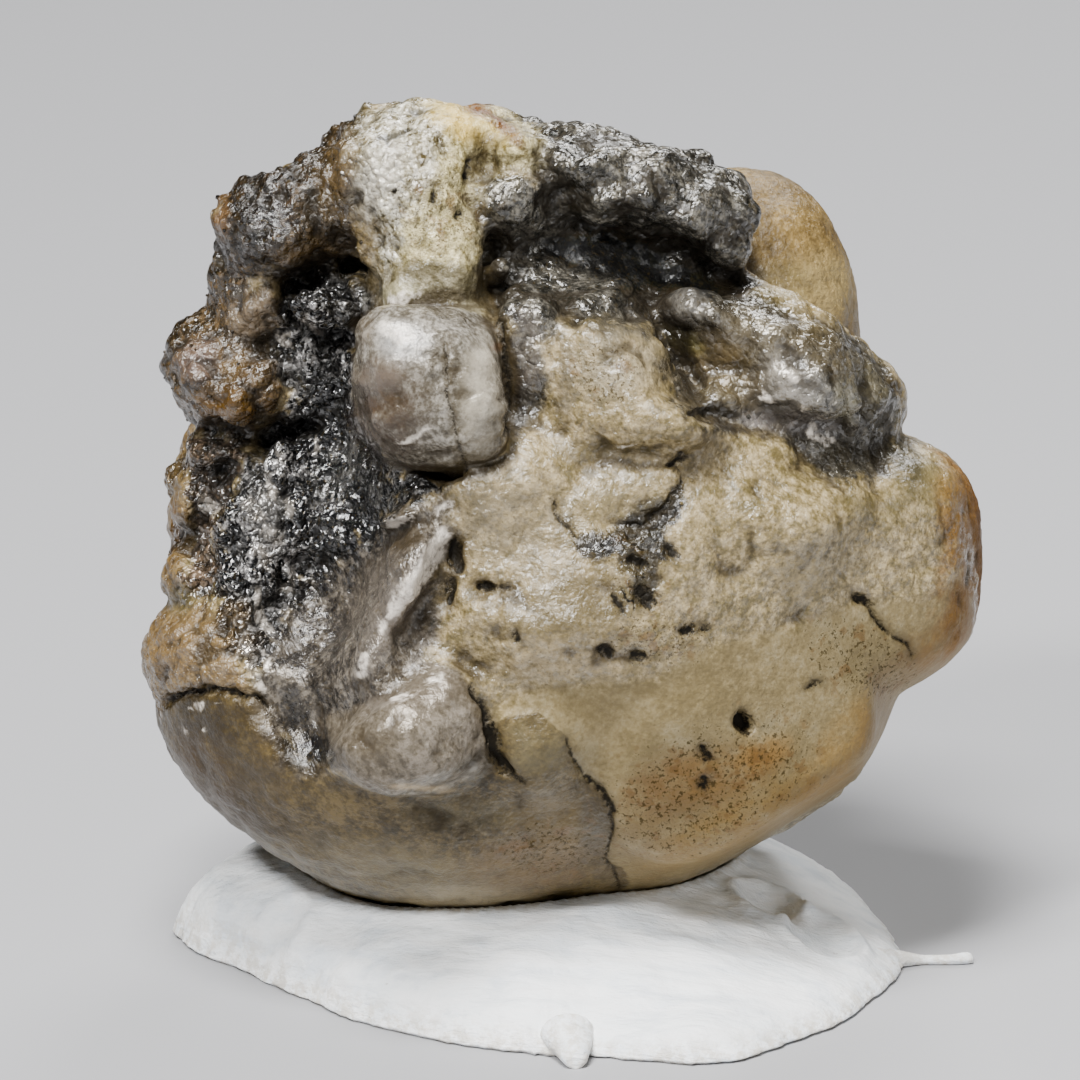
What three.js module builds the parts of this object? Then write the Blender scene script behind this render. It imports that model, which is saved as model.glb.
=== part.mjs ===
// A water-worn phenakite crystal with a lumpy, etched front, standing in a pressed pad of white
// mounting putty. All sizes are in millimetres, +Z is up and the front faces -Y.
// The crystal is shaped in a frame of its own: x to the right, y away from the front, z up.

import * as THREE from "three";
import { MarchingCubes } from "three/addons/objects/MarchingCubes.js";
import { mergeVertices } from "three/addons/utils/BufferGeometryUtils.js";

// Driving dimensions.
const LEAN = THREE.MathUtils.degToRad(16); // how far the crystal leans back in its pad
const CRYSTAL_HEIGHT = 8.5; // the crystal's own origin above the surface the pad lies on
const CLEARANCE = 0.3; // between the crystal and the putty that cups it
const TOUCHING = 0.005; // near enough to count as on the surface
const SKIN_CELL = 0.54; // the mesh size of the crystal's skin
const PAD_THICKNESS = 2.0; // of the putty, where it is thickest
const PAD_EDGE = 0.25; // and at its edge

// Every form is a rounded block: where its centre is, its three half sizes and, in degrees, how far
// it is rolled clockwise about y. soft is how widely it flows into what is already there, and
// square is how far it is from an ellipsoid (2) towards a box.

// The broad masses, from the back to the front.
const masses = [
  { at: [0.0, 2.6, -0.3], size: [6.7, 4.5, 6.2] }, // back
  { at: [0.0, 0.6, -0.4], size: [7.0, 6.0, 6.6], soft: 1.5 }, // heart
  { at: [-3.4, 2.6, 0.6], size: [4.1, 4.2, 3.9], soft: 0.8 }, // smooth left flank
  { at: [-2.9, 4.2, 2.6], size: [3.1, 2.7, 3.4], roll: -12, soft: 0.6 }, // worn crystal at the back
  { at: [1.4, 4.9, -1.9], size: [3.5, 2.3, 3.0], roll: 20, soft: 0.6 }, // another below it
  { at: [3.9, 3.8, 3.9], size: [2.5, 3.0, 3.6], roll: -4, soft: 0.5 }, // tall lobe at the back
  { at: [-1.2, 0.9, 3.4], size: [5.4, 4.7, 4.7], soft: 0.8 }, // crown
  { at: [3.6, 0.5, 1.6], size: [3.5, 4.4, 2.9], soft: 0.6 }, // right shoulder
  { at: [5.75, 1.2, -0.6], size: [3.15, 4.0, 2.85], square: 2.5, soft: 0.35 }, // right lobe
  { at: [2.0, 0.8, -2.6], size: [5.1, 5.2, 4.5], soft: 0.3 }, // lower right
  { at: [2.2, -0.6, -0.9], size: [5.4, 4.9, 3.7], soft: 1.2 }, // broad front
  { at: [-1.5, 0.3, -2.9], size: [6.25, 5.3, 4.6], soft: 0.5 }, // lower left dome
  { at: [-5.9, 0.3, -2.3], size: [2.1, 3.6, 1.45], soft: 0.3 }, // left bulge
  { at: [3.7, -0.7, -4.1], size: [2.7, 4.4, 2.4], square: 3.2, soft: 0.35 }, // thick lower front
];

// Flat, worn crystal faces: a point on each, the way it looks out, and the roundness of its edges.
const faces = [
  { at: [5.0, 0, -5.7], out: [0.38, -0.1, -0.92], soft: 0.7 }, // under the right side
  { at: [-6.3, 0, -5.9], out: [-0.6, 0, -0.8], soft: 0.9 }, // under the left side
  { at: [2.4, -4.7, -3.8], out: [0.12, -0.86, -0.48], soft: 0.4 }, // smooth lower front
  { at: [6.0, -3.2, -1.6], out: [0.62, -0.78, -0.12], soft: 0.5 }, // right front
  { at: [2.5, 6.75, 0], out: [0.4, 0.91, 0.02], soft: 0.7 }, // back, right
  { at: [-3.0, 6.1, 0], out: [-0.5, 0.85, -0.1], soft: 0.5 }, // back, left
  { at: [0, 5.4, -4.6], out: [0.05, 0.62, -0.78], soft: 0.6 }, // back, below
];

// Lumps that stand out of the front and the crown.
const lumps = [
  { at: [-4.8, -1.3, 6.5], size: [1.75, 2.6, 1.3], roll: -26, square: 2.5, soft: 0.5 }, // ribbed ridge
  { at: [-5.6, -0.9, 5.9], size: [0.85, 1.9, 1.2], soft: 0.5 }, // its left end
  { at: [-2.5, -1.7, 7.0], size: [1.7, 2.9, 1.6], roll: -8, square: 2.6, soft: 0.6 }, // pale cap
  { at: [-1.1, -1.0, 7.7], size: [1.2, 2.4, 0.9], roll: 24, soft: 0.5 }, // cap's shoulder
  { at: [-0.5, -3.0, 6.6], size: [0.85, 1.4, 0.8], square: 2.6, soft: 0.35 }, // grey lumps by the cap
  { at: [-0.45, -2.6, 7.6], size: [0.65, 1.5, 0.55], soft: 0.4 },
  { at: [1.7, -1.2, 7.15], size: [2.2, 2.6, 1.1], roll: 15, square: 2.5, soft: 0.6 }, // metallic crest
  { at: [2.9, -1.1, 6.5], size: [1.35, 2.6, 1.2], roll: 20, square: 2.5, soft: 0.5 },
  { at: [0.9, -2.9, 7.35], size: [0.9, 1.3, 0.5], roll: 20, soft: 0.4 },
  { at: [1.5, -3.0, 6.65], size: [0.7, 1.2, 0.45], roll: 10, soft: 0.3 },
  { at: [2.25, -3.0, 7.0], size: [0.6, 1.2, 0.7], roll: -15, soft: 0.35 },
  { at: [3.05, -2.7, 6.45], size: [0.6, 1.3, 0.85], roll: 20, soft: 0.3 },
  { at: [3.75, -1.7, 6.1], size: [0.45, 1.7, 1.0], roll: 8, soft: 0.3 },
  { at: [-6.3, -0.6, 3.6], size: [1.1, 2.2, 1.5], square: 2.5, soft: 0.4 }, // left lobes
  { at: [-6.7, -1.5, 3.5], size: [0.75, 1.2, 0.8], soft: 0.3 },
  { at: [-5.6, -2.2, 2.9], size: [0.8, 1.1, 0.7], soft: 0.25 },
  { at: [-5.5, -1.9, 4.5], size: [0.85, 1.2, 0.75], soft: 0.35 },
  { at: [-6.1, -1.1, 5.2], size: [0.6, 1.3, 0.7], soft: 0.3 },
  { at: [-6.75, -0.3, 0.9], size: [0.7, 1.4, 0.75], square: 2.5, soft: 0.3 }, // left edge bumps
  { at: [-6.35, -1.0, 1.75], size: [0.7, 1.2, 0.5], soft: 0.3 },
  { at: [-6.75, -0.1, -0.6], size: [0.7, 1.5, 0.7], square: 2.5, soft: 0.35 },
  { at: [-5.95, -1.6, 0.3], size: [0.5, 1.0, 0.8], roll: 15, soft: 0.35 },
  { at: [-0.15, -3.9, 3.7], size: [0.7, 1.2, 1.3], roll: 4, square: 2.6, soft: 0.35 }, // grey column
  { at: [1.35, -4.0, 3.3], size: [1.2, 1.5, 1.15], roll: 12, square: 2.6, soft: 0.8 }, // grainy boss
  { at: [0.9, -3.4, 4.65], size: [1.2, 1.0, 0.5], roll: -6, soft: 0.35 }, // dark bar above it
  { at: [2.1, -4.15, 2.35], size: [1.7, 1.4, 0.6], roll: 8, soft: 0.8 }, // light crest
  { at: [4.4, -1.3, 3.6], size: [2.4, 2.6, 1.35], roll: 24, square: 2.5, soft: 0.5 }, // shoulder
  { at: [3.2, -3.2, 4.3], size: [0.8, 1.0, 0.6], roll: 10, soft: 0.3 },
  { at: [4.7, -2.6, 3.9], size: [1.0, 1.4, 0.6], roll: 25, soft: 0.35 },
  { at: [4.9, -3.1, 3.0], size: [1.05, 1.1, 0.75], square: 2.6, soft: 0.3 },
  { at: [6.05, -2.1, 2.8], size: [0.42, 1.4, 0.85], roll: 5, soft: 0.25 },
  { at: [6.6, -0.9, 2.5], size: [0.6, 1.7, 1.0], roll: 15, soft: 0.35 },
  { at: [-2.55, -4.5, -0.8], size: [0.5, 1.4, 1.7], roll: 22, soft: 0.4 }, // ridge by the trough
  { at: [-2.6, -4.5, 0.5], size: [0.85, 0.9, 0.35], roll: -8, soft: 0.3 },
  { at: [-1.0, -4.4, 1.0], size: [1.6, 1.2, 0.9], roll: -18, soft: 0.7 },
  { at: [-3.2, -4.4, -2.5], size: [0.7, 1.1, 0.6], roll: -20, soft: 0.35 },
  { at: [4.6, -3.4, 0.2], size: [1.6, 1.3, 0.9], roll: -10, soft: 0.9 }, // swells of the broad front
  { at: [0.3, -4.5, -1.6], size: [1.6, 1.3, 0.8], roll: 10, soft: 0.9 },
  { at: [-3.2, 4.6, -1.6], size: [2.3, 1.9, 1.7], roll: 30, square: 3, soft: 0.35 }, // ledges at the back
  { at: [-1.2, 4.9, 3.9], size: [1.7, 1.9, 1.5], roll: -20, square: 3, soft: 0.5 },
  { at: [3.0, 4.7, -3.2], size: [2.0, 2.2, 1.3], roll: -18, square: 3, soft: 0.4 },
  { at: [2.2, 5.4, 1.6], size: [0.9, 1.5, 1.9], roll: -15, soft: 0.4 }, // foot of the tall lobe
  { at: [6.4, 2.8, 1.2], size: [1.1, 1.7, 0.9], roll: 15, soft: 0.4 },
];

// Hollows that are eaten into it.
const hollows = [
  { at: [-4.4, -5.2, 1.6], size: [1.5, 2.7, 2.6], soft: 0.7 }, // dark trough, from the top down
  { at: [-4.65, -5.2, -0.9], size: [1.5, 2.6, 2.2], roll: 8, soft: 0.7 },
  { at: [-4.8, -5.1, -3.3], size: [0.85, 1.8, 1.3], roll: -25, soft: 0.5 },
  { at: [-4.3, -4.5, 4.2], size: [0.95, 2.0, 1.3], soft: 0.5 }, // left of the knob
  { at: [-5.2, -3.3, 2.05], size: [1.1, 1.5, 0.3], roll: -18, soft: 0.2 }, // under the left lobes
  { at: [-4.0, -4.2, 5.35], size: [1.1, 1.6, 0.3], roll: 5, soft: 0.2 }, // under the ribbed ridge
  { at: [1.6, -4.2, 5.55], size: [2.2, 2.0, 0.5], roll: 6, soft: 0.3 }, // under the metallic crest
  { at: [3.4, -3.3, 5.25], size: [0.9, 1.3, 0.35], roll: 15, soft: 0.25 },
  { at: [-0.9, -4.6, 5.55], size: [0.6, 1.2, 0.3], soft: 0.2 },
  { at: [2.65, -4.5, 3.7], size: [0.35, 1.3, 1.2], roll: -25, soft: 0.25 }, // right of the boss
  { at: [4.3, -4.2, 2.2], size: [1.9, 1.0, 0.28], roll: 6, soft: 0.25 }, // under the shoulder
  { at: [5.7, -3.6, 1.5], size: [0.85, 1.1, 0.4], roll: 25, soft: 0.3 },
  { at: [1.65, -6.0, 1.0], size: [1.55, 1.6, 0.95], roll: -16, soft: 0.2 }, // eye-shaped recess
  { at: [-2.1, -5.4, 1.15], size: [0.9, 1.5, 0.35], roll: 12, soft: 0.2 }, // under the knob
  { at: [-1.75, -5.5, -0.6], size: [0.28, 1.0, 0.85], roll: 10, soft: 0.2 }, // holes by the ridge
  { at: [-1.1, -5.6, -1.0], size: [0.35, 0.9, 0.32], soft: 0.15 },
  { at: [-1.5, -5.9, -2.5], size: [0.8, 0.9, 0.25], roll: 28, soft: 0.2 },
  { at: [-0.85, -5.6, -4.2], size: [0.28, 1.1, 0.9], roll: -15, soft: 0.2 }, // beside the low pebble
  { at: [-6.5, -3.0, -3.15], size: [1.2, 1.1, 0.16], roll: 4, soft: 0.15 }, // crack under the bulge
  { at: [6.9, -2.8, -1.8], size: [0.85, 0.9, 0.14], roll: 50, soft: 0.25 }, // crack in the right lobe
  { at: [-0.4, 7.0, 1.6], size: [1.5, 0.9, 3.2], roll: 22, soft: 0.9 }, // between the back crystals
  { at: [5.2, 6.2, -0.6], size: [2.0, 1.2, 0.7], roll: 10, soft: 0.8 },
  { at: [-6.0, 4.6, 1.2], size: [0.9, 1.3, 1.5], roll: 15, soft: 0.6 },
];

// Knobs that sit in front of the hollows.
const knobs = [
  { at: [-2.2, -3.7, 5.0], size: [1.0, 1.4, 0.85], square: 2.6, soft: 0.35 }, // neck
  { at: [-2.2, -4.6, 3.0], size: [1.42, 1.8, 1.65], roll: -3, square: 3.6, soft: 0.15 }, // barrel
  { at: [-4.3, -3.2, 4.5], size: [0.7, 0.9, 0.35], roll: 12, soft: 0.3 }, // twisted bar
  { at: [-0.65, -3.85, 4.85], size: [0.4, 0.75, 0.6], soft: 0.25 }, // little pebble
  { at: [1.3, -4.75, 0.8], size: [1.1, 0.5, 0.55], roll: -16, square: 2.6, soft: 0.3 }, // in the recess
  { at: [-2.85, -4.3, -3.95], size: [1.65, 1.7, 1.05], square: 2.4, soft: 0.2 }, // low pebble
  { at: [-2.15, -4.3, -3.35], size: [1.15, 1.6, 1.0], roll: 25, soft: 0.5 },
  { at: [-0.2, -4.1, -4.1], size: [0.9, 1.3, 0.85], square: 2.4, soft: 0.35 }, // its neighbour
];

// The waves that rumple its relief, so that nothing in it is a true ellipsoid: height, how quickly
// each runs along x, y and z, and where it starts. One set of two for each direction.
const waves = [
  [{ height: 0.12, run: [0.3, 1.9, 1.3], start: 0.5 }, { height: 0.04, run: [0.5, -2.9, 4.1], start: 1.2 }],
  [{ height: 0.13, run: [1.5, 0.4, 1.7], start: 2.1 }, { height: 0.04, run: [3.7, 0.6, 3.1], start: 0.4 }],
  [{ height: 0.09, run: [1.8, 1.4, 0.3], start: 4.0 }, { height: 0.04, run: [-3.3, 3.9, 0.5], start: 2.7 }],
];

// A form's signed distance at a point, negative inside.
function distanceTo(form) {
  const [cx, cy, cz] = form.at;
  const [rx, ry, rz] = form.size;
  const power = form.square ?? 2;
  const roll = THREE.MathUtils.degToRad(form.roll ?? 0);
  const c = Math.cos(roll);
  const s = Math.sin(roll);
  return (x, y, z) => {
    const u = Math.abs(((x - cx) * c - (z - cz) * s) / rx);
    const v = Math.abs((y - cy) / ry);
    const w = Math.abs(((x - cx) * s + (z - cz) * c) / rz);
    if (power === 2) {
      const reach = Math.sqrt(u * u + v * v + w * w);
      const slope = Math.sqrt((u / rx) ** 2 + (v / ry) ** 2 + (w / rz) ** 2);
      return (reach * (reach - 1)) / Math.max(slope, 1e-9);
    }
    const reach = (u ** power + v ** power + w ** power) ** (1 / power);
    const edge = power - 1;
    const slope = Math.hypot(u ** edge / rx, v ** edge / ry, w ** edge / rz) / reach ** edge;
    return (reach - 1) / Math.max(slope, 1e-9);
  };
}

function distanceToFace(face) {
  const out = new THREE.Vector3(...face.out).normalize();
  const offset = out.dot(new THREE.Vector3(...face.at));
  return (x, y, z) => out.x * x + out.y * y + out.z * z - offset;
}

// The lower of two distances, rounded off where they meet over the width soft.
function join(a, b, soft) {
  const h = Math.max(soft - Math.abs(a - b), 0) / soft;
  return Math.min(a, b) - (h * h * soft) / 4;
}

const bodySteps = [
  ...masses.map((form) => ({ kind: "add", soft: form.soft ?? 1, distance: distanceTo(form) })),
  ...faces.map((face) => ({ kind: "trim", soft: face.soft, distance: distanceToFace(face) })),
];
const reliefSteps = [
  ...lumps.map((form) => ({ kind: "add", soft: form.soft, distance: distanceTo(form) })),
  ...hollows.map((form) => ({ kind: "hollow", soft: form.soft, distance: distanceTo(form) })),
  ...knobs.map((form) => ({ kind: "add", soft: form.soft, distance: distanceTo(form) })),
];

// Adds, hollows or trims a signed distance by each step in turn.
function carve(d, steps, x, y, z) {
  for (const { kind, soft, distance } of steps) {
    const e = distance(x, y, z);
    if (kind === "add") d = join(d, e, soft);
    else if (kind === "trim") d = -join(-d, -e, soft);
    else d = -join(-d, e, soft);
  }
  return d;
}

// How far the waves of one direction push a point along it.
function push(set, x, y, z) {
  let total = 0;
  for (const { height, run, start } of set) {
    total += height * Math.sin(run[0] * x + run[1] * y + run[2] * z + start);
  }
  return total;
}

// Signed distance from the crystal's surface, in its own frame.
function crystalAt(x, y, z) {
  const body = carve(Infinity, bodySteps, x, y, z);
  const rumpled = [x + push(waves[0], x, y, z), y + push(waves[1], x, y, z), z + push(waves[2], x, y, z)];
  return carve(body, reliefSteps, ...rumpled);
}

// The skin of everything where the field is negative, as one closed net of triangles.
function skinOf(field, { centre, span, cell, rounds }) {
  const half = Math.ceil(span / cell / 2);
  const mould = new MarchingCubes(2 * half, undefined, false, false, 50 * half * half);
  mould.isolation = 0;
  let slot = 0;
  for (let k = -half; k < half; k++) {
    for (let j = -half; j < half; j++) {
      for (let i = -half; i < half; i++) {
        mould.field[slot++] = -field(centre.x + i * cell, centre.y + j * cell, centre.z + k * cell);
      }
    }
  }
  mould.update();
  const cast = new THREE.BufferGeometry();
  const corners = mould.positionArray.slice(0, mould.count * 3);
  cast.setAttribute("position", new THREE.BufferAttribute(corners, 3));
  cast.scale(half * cell, half * cell, half * cell);
  cast.translate(centre.x, centre.y, centre.z);
  const skin = mergeVertices(cast, cell / 500);
  relax(field, skin, rounds);
  return skin;
}

// Moves each corner towards the middle of its neighbours and back onto the surface, which turns
// the thin slivers of the net into fair triangles.
function relax(field, skin, rounds) {
  const position = skin.getAttribute("position");
  const index = skin.index.array;
  const points = [];
  for (let i = 0; i < position.count; i++) {
    points.push(new THREE.Vector3().fromBufferAttribute(position, i));
  }
  const neighbours = points.map(() => new Set());
  for (let i = 0; i < index.length; i += 3) {
    for (let k = 0; k < 3; k++) {
      neighbours[index[i + k]].add(index[i + ((k + 1) % 3)]);
      neighbours[index[i + k]].add(index[i + ((k + 2) % 3)]);
    }
  }
  for (let round = 0; round < rounds; round++) {
    const moved = points.map((point, i) => {
      const middle = new THREE.Vector3();
      for (const n of neighbours[i]) middle.add(points[n]);
      return middle.divideScalar(neighbours[i].size).lerp(point, 0.5);
    });
    moved.forEach((point, i) => points[i].copy(point));
    for (const point of points) settle(field, point);
  }
  points.forEach((point, i) => position.setXYZ(i, point.x, point.y, point.z));
}

// Moves a point onto the surface, against the slope of the field.
function settle(field, point) {
  const h = 0.01;
  for (let k = 0; k < 3; k++) {
    const { x, y, z } = point;
    const d = field(x, y, z);
    const slope = new THREE.Vector3(
      field(x + h, y, z) - d,
      field(x, y + h, z) - d,
      field(x, y, z + h) - d,
    ).divideScalar(h);
    point.addScaledVector(slope, -d / Math.max(slope.lengthSq(), 0.1));
  }
}

// The putty pad. Its outline on the surface it lies on runs from the left tip round the front. The
// third number is how far a thread of putty is pulled out there: a drip at the front edge and a
// longer thread at the right.
const padCentre = new THREE.Vector2(0.1, -0.8);
const padOutline = [
  [-7.3, 1.0, 0], [-7.2, 0.0, 0], [-6.7, -1.0, 0], [-5.9, -2.1, 0], [-4.9, -3.5, 0], [-3.9, -4.8, 0],
  [-2.8, -5.7, 0], [-1.5, -6.4, 0], [-0.2, -6.9, 0], [0.4, -7.0, 0.8], [1.0, -7.0, 0], [2.2, -7.3, 0],
  [3.4, -7.5, 0], [4.5, -6.7, 0], [5.5, -5.6, 0], [6.3, -4.1, 0], [6.9, -2.7, 0], [7.2, -1.9, 0],
  [7.3, -1.3, 1.6], [7.2, -0.6, 0], [7.0, 0.6, 0], [6.7, 2.3, 0], [5.6, 4.2, 0], [3.3, 5.6, 0],
  [0.2, 6.1, 0], [-3.2, 5.5, 0], [-5.8, 4.0, 0],
];
// The section of the pad from its middle to its edge, under side first: how far out it goes, and
// how much of the pad's height it has there.
const padSection = [
  [0, 0], [0.6, 0], [0.97, 0], [1, 0.35], [0.97, 0.8], [0.89, 1], [0.76, 1], [0.6, 1],
  [0.42, 1], [0.22, 1], [0, 1],
];

// How high the pad stands at a point: gently sloped in front, steep at the left and behind, and
// hollowed where the crystal is bedded in it.
function padTop(x, y, out) {
  const steepness = Math.max(4 + 0.3 * y - 0.25 * x, 1.6);
  const swell = PAD_EDGE + (PAD_THICKNESS - PAD_EDGE) * (1 - Math.min(out, 1) ** steepness) ** 0.8;
  return Math.min(swell, undersideAbove(x, y) - CLEARANCE);
}

// The height of the crystal's underside above a point on the ground, or Infinity beside it.
function undersideAbove(x, y) {
  const sideways = new THREE.Vector3(1, 0, 0);
  let z = 0;
  while (z < CRYSTAL_HEIGHT) {
    const point = new THREE.Vector3(x, y, z - CRYSTAL_HEIGHT).applyAxisAngle(sideways, LEAN);
    const gap = crystalAt(point.x, point.y, point.z);
    if (gap < TOUCHING) return z;
    z += 0.6 * gap;
  }
  return Infinity;
}

// A disc of padSection's shape, pulled out to the outline and its threads, and up to the top.
function puttyPad() {
  const edge = new THREE.SplineCurve(
    [...padOutline, padOutline[0]].map(([x, y]) => new THREE.Vector2(x, y)),
  );
  const profile = padSection.map(([out, lift]) => new THREE.Vector2(out, lift));
  const spokes = 2 * padOutline.length;
  const disc = new THREE.LatheGeometry(profile, spokes);
  disc.deleteAttribute("normal");
  disc.deleteAttribute("uv");
  const pad = mergeVertices(disc, 1e-4);
  const position = pad.getAttribute("position");
  for (let i = 0; i < position.count; i++) {
    const out = Math.hypot(position.getX(i), position.getZ(i));
    const turns = Math.atan2(position.getX(i), position.getZ(i)) / (2 * Math.PI);
    const spoke = Math.round((turns + 1) * spokes) % spokes;
    const thread = spoke % 2 === 0 ? padOutline[spoke / 2][2] : 0;
    const arm = edge.getPoint(spoke / spokes).sub(padCentre);
    const reach = out + (thread / arm.length()) * THREE.MathUtils.smoothstep(out, 0.7, 1);
    const place = arm.multiplyScalar(reach).add(padCentre);
    position.setXYZ(i, place.x, place.y, position.getY(i) * padTop(place.x, place.y, out));
  }
  return pad;
}

const crystalSkin = skinOf(crystalAt, {
  centre: new THREE.Vector3(0.4, 0.2, 0.6),
  span: 20,
  cell: SKIN_CELL,
  rounds: 3,
});

const crystal = new THREE.Mesh(
  crystalSkin,
  new THREE.MeshStandardMaterial({ color: 0x8d8470, roughness: 0.55, metalness: 0.05 }),
);
crystal.name = "phenakite_crystal";
crystal.rotation.x = -LEAN;
crystal.position.z = CRYSTAL_HEIGHT;

const putty = new THREE.Mesh(
  puttyPad(),
  new THREE.MeshStandardMaterial({ color: 0xdfe6ea, roughness: 0.7, metalness: 0 }),
);
putty.name = "mounting_putty";

// The origin is in the middle of the whole specimen, on the surface it stands on.
const specimen = new THREE.Group();
specimen.add(crystal, putty);
const reach = new THREE.Box3().setFromObject(specimen, true);
const middle = reach.getCenter(new THREE.Vector3());
specimen.position.set(-middle.x, -middle.y, -reach.min.z);

export default specimen;
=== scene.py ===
import math

import bmesh
import bpy
import numpy as np
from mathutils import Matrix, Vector


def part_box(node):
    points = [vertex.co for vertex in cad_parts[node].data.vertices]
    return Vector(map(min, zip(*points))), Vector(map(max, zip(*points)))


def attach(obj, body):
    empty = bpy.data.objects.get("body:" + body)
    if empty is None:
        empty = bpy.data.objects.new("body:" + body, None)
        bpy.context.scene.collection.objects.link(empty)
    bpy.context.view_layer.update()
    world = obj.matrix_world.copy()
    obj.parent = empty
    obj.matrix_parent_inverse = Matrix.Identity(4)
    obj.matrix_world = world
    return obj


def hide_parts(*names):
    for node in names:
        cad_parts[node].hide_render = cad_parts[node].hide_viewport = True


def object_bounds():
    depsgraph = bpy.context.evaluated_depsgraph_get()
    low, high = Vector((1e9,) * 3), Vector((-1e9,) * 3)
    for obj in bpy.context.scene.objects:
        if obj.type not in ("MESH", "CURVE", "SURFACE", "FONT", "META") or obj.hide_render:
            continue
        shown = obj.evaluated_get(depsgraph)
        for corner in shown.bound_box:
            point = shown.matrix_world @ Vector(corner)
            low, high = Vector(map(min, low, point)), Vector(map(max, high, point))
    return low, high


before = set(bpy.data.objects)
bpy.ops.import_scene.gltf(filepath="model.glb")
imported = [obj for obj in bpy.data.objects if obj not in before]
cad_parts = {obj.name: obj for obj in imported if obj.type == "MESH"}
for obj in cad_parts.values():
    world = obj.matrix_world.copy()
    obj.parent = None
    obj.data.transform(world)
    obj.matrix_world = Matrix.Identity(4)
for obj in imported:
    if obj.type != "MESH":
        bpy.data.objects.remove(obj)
cadLow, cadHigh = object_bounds()
scene = bpy.context.scene
print("frame loaded")

# How the crystal stands. It is shaped in a frame of its own, in millimetres: x to the right, y away
# from the front and z up. It leans back in the putty, with the frame's middle this high above the floor.
stand = {"lean": 16, "height": 8.5, "padLeft": -7.3, "padBack": 6.1}
puttyLow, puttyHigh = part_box("mounting_putty")
leanCos = math.cos(math.radians(stand["lean"]))
leanSin = math.sin(math.radians(stand["lean"]))
middle = np.array([
    puttyLow.x * 1000 - stand["padLeft"],
    puttyHigh.y * 1000 - stand["padBack"],
    stand["height"],
])


def toRow(points):
    # from the crystal's own frame in millimetres to the row frame in metres
    x, y, z = points.T
    turned = np.stack([x, y * leanCos + z * leanSin, z * leanCos - y * leanSin], axis=1)
    return (turned + middle) / 1000


def toCrystal(points):
    x, y, z = (points * 1000 - middle).T
    return np.stack([x, y * leanCos - z * leanSin, y * leanSin + z * leanCos], axis=1)


# The camera looks straight at the crystal's front, down by as much as it leans back.
view = {"distance": 180, "seen": 21.6, "sensor": 36}
camera = bpy.data.cameras.new("camera")
camera.sensor_width = view["sensor"]
camera.lens = view["sensor"] * view["distance"] / view["seen"]
camera.clip_start = 0.01
camera.clip_end = 10
cameraObject = bpy.data.objects.new("camera", camera)
cameraObject.location = toRow(np.array([[0.0, -view["distance"], 0.0]]))[0]
cameraObject.rotation_euler = (math.radians(90 - stand["lean"]), 0, 0)
scene.collection.objects.link(cameraObject)
scene.camera = cameraObject


def rows(names, table):
    # a table's rows under the names of its columns, where a short row leaves the last names out
    return [dict(zip(names, row)) for row in table]


# Every form is a rounded block: its centre, its three half sizes, how widely it flows into what is
# there, how far it is rolled clockwise about y, in degrees, and how boxy it is.
formColumns = ("at", "size", "soft", "roll", "square")
masses = rows(formColumns, [
    ([0, 2.6, -0.3], [6.7, 4.5, 6.2], 1),
    ([0, 0.6, -0.4], [7, 6, 6.6], 1.5),
    ([-3.4, 2.6, 0.6], [4.1, 4.2, 3.9], 0.8),
    ([-2.9, 4.2, 2.6], [3.1, 2.7, 3.4], 0.6, -12),
    ([1.4, 4.9, -1.9], [3.5, 2.3, 3], 0.6, 20),
    ([4.1, 3.8, 3.9], [2.45, 3, 3.72], 0.5, -1, 2.3),
    ([-1.2, 0.9, 3.4], [5.4, 4.7, 4.7], 0.8),
    ([3.6, 0.5, 1.6], [3.5, 4.4, 2.9], 0.6),
    ([5.75, 1.2, -0.4], [3.18, 4.1, 2.65], 0.35, 0, 2.8),
    ([2, 0.8, -2.6], [5.1, 5.2, 4.5], 0.3),
    ([2.2, -0.6, -0.9], [5.4, 4.9, 3.7], 1.2),
    ([-1.5, 0.3, -2.9], [6.25, 5.3, 4.6], 0.5),
    ([-5.9, 0.3, -2.3], [2.1, 3.6, 1.45], 0.3),
    ([3.7, -0.7, -4.1], [3, 4.4, 2.4], 0.35, 0, 3.2),
])

# Flat, worn crystal faces: a point on each, the way it looks out and the roundness of its edges.
faces = rows(("at", "out", "soft"), [
    ([5.5, 0, -5.3], [0.54, -0.1, -0.83], 0.6),
    ([-6.3, 0, -5.9], [-0.6, 0, -0.8], 0.9),
    ([2.4, -4.7, -3.8], [0.12, -0.86, -0.48], 0.4),
    ([6, -3.3, -1.6], [0.54, -0.84, -0.1], 0.4),
    ([8.85, 0, 0], [0.96, -0.28, 0], 0.35),
    ([2.5, 6.75, 0], [0.4, 0.91, 0.02], 0.7),
    ([-3, 6.1, 0], [-0.5, 0.85, -0.1], 0.5),
    ([0, 5.4, -4.6], [0.05, 0.62, -0.78], 0.6),
])

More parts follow.
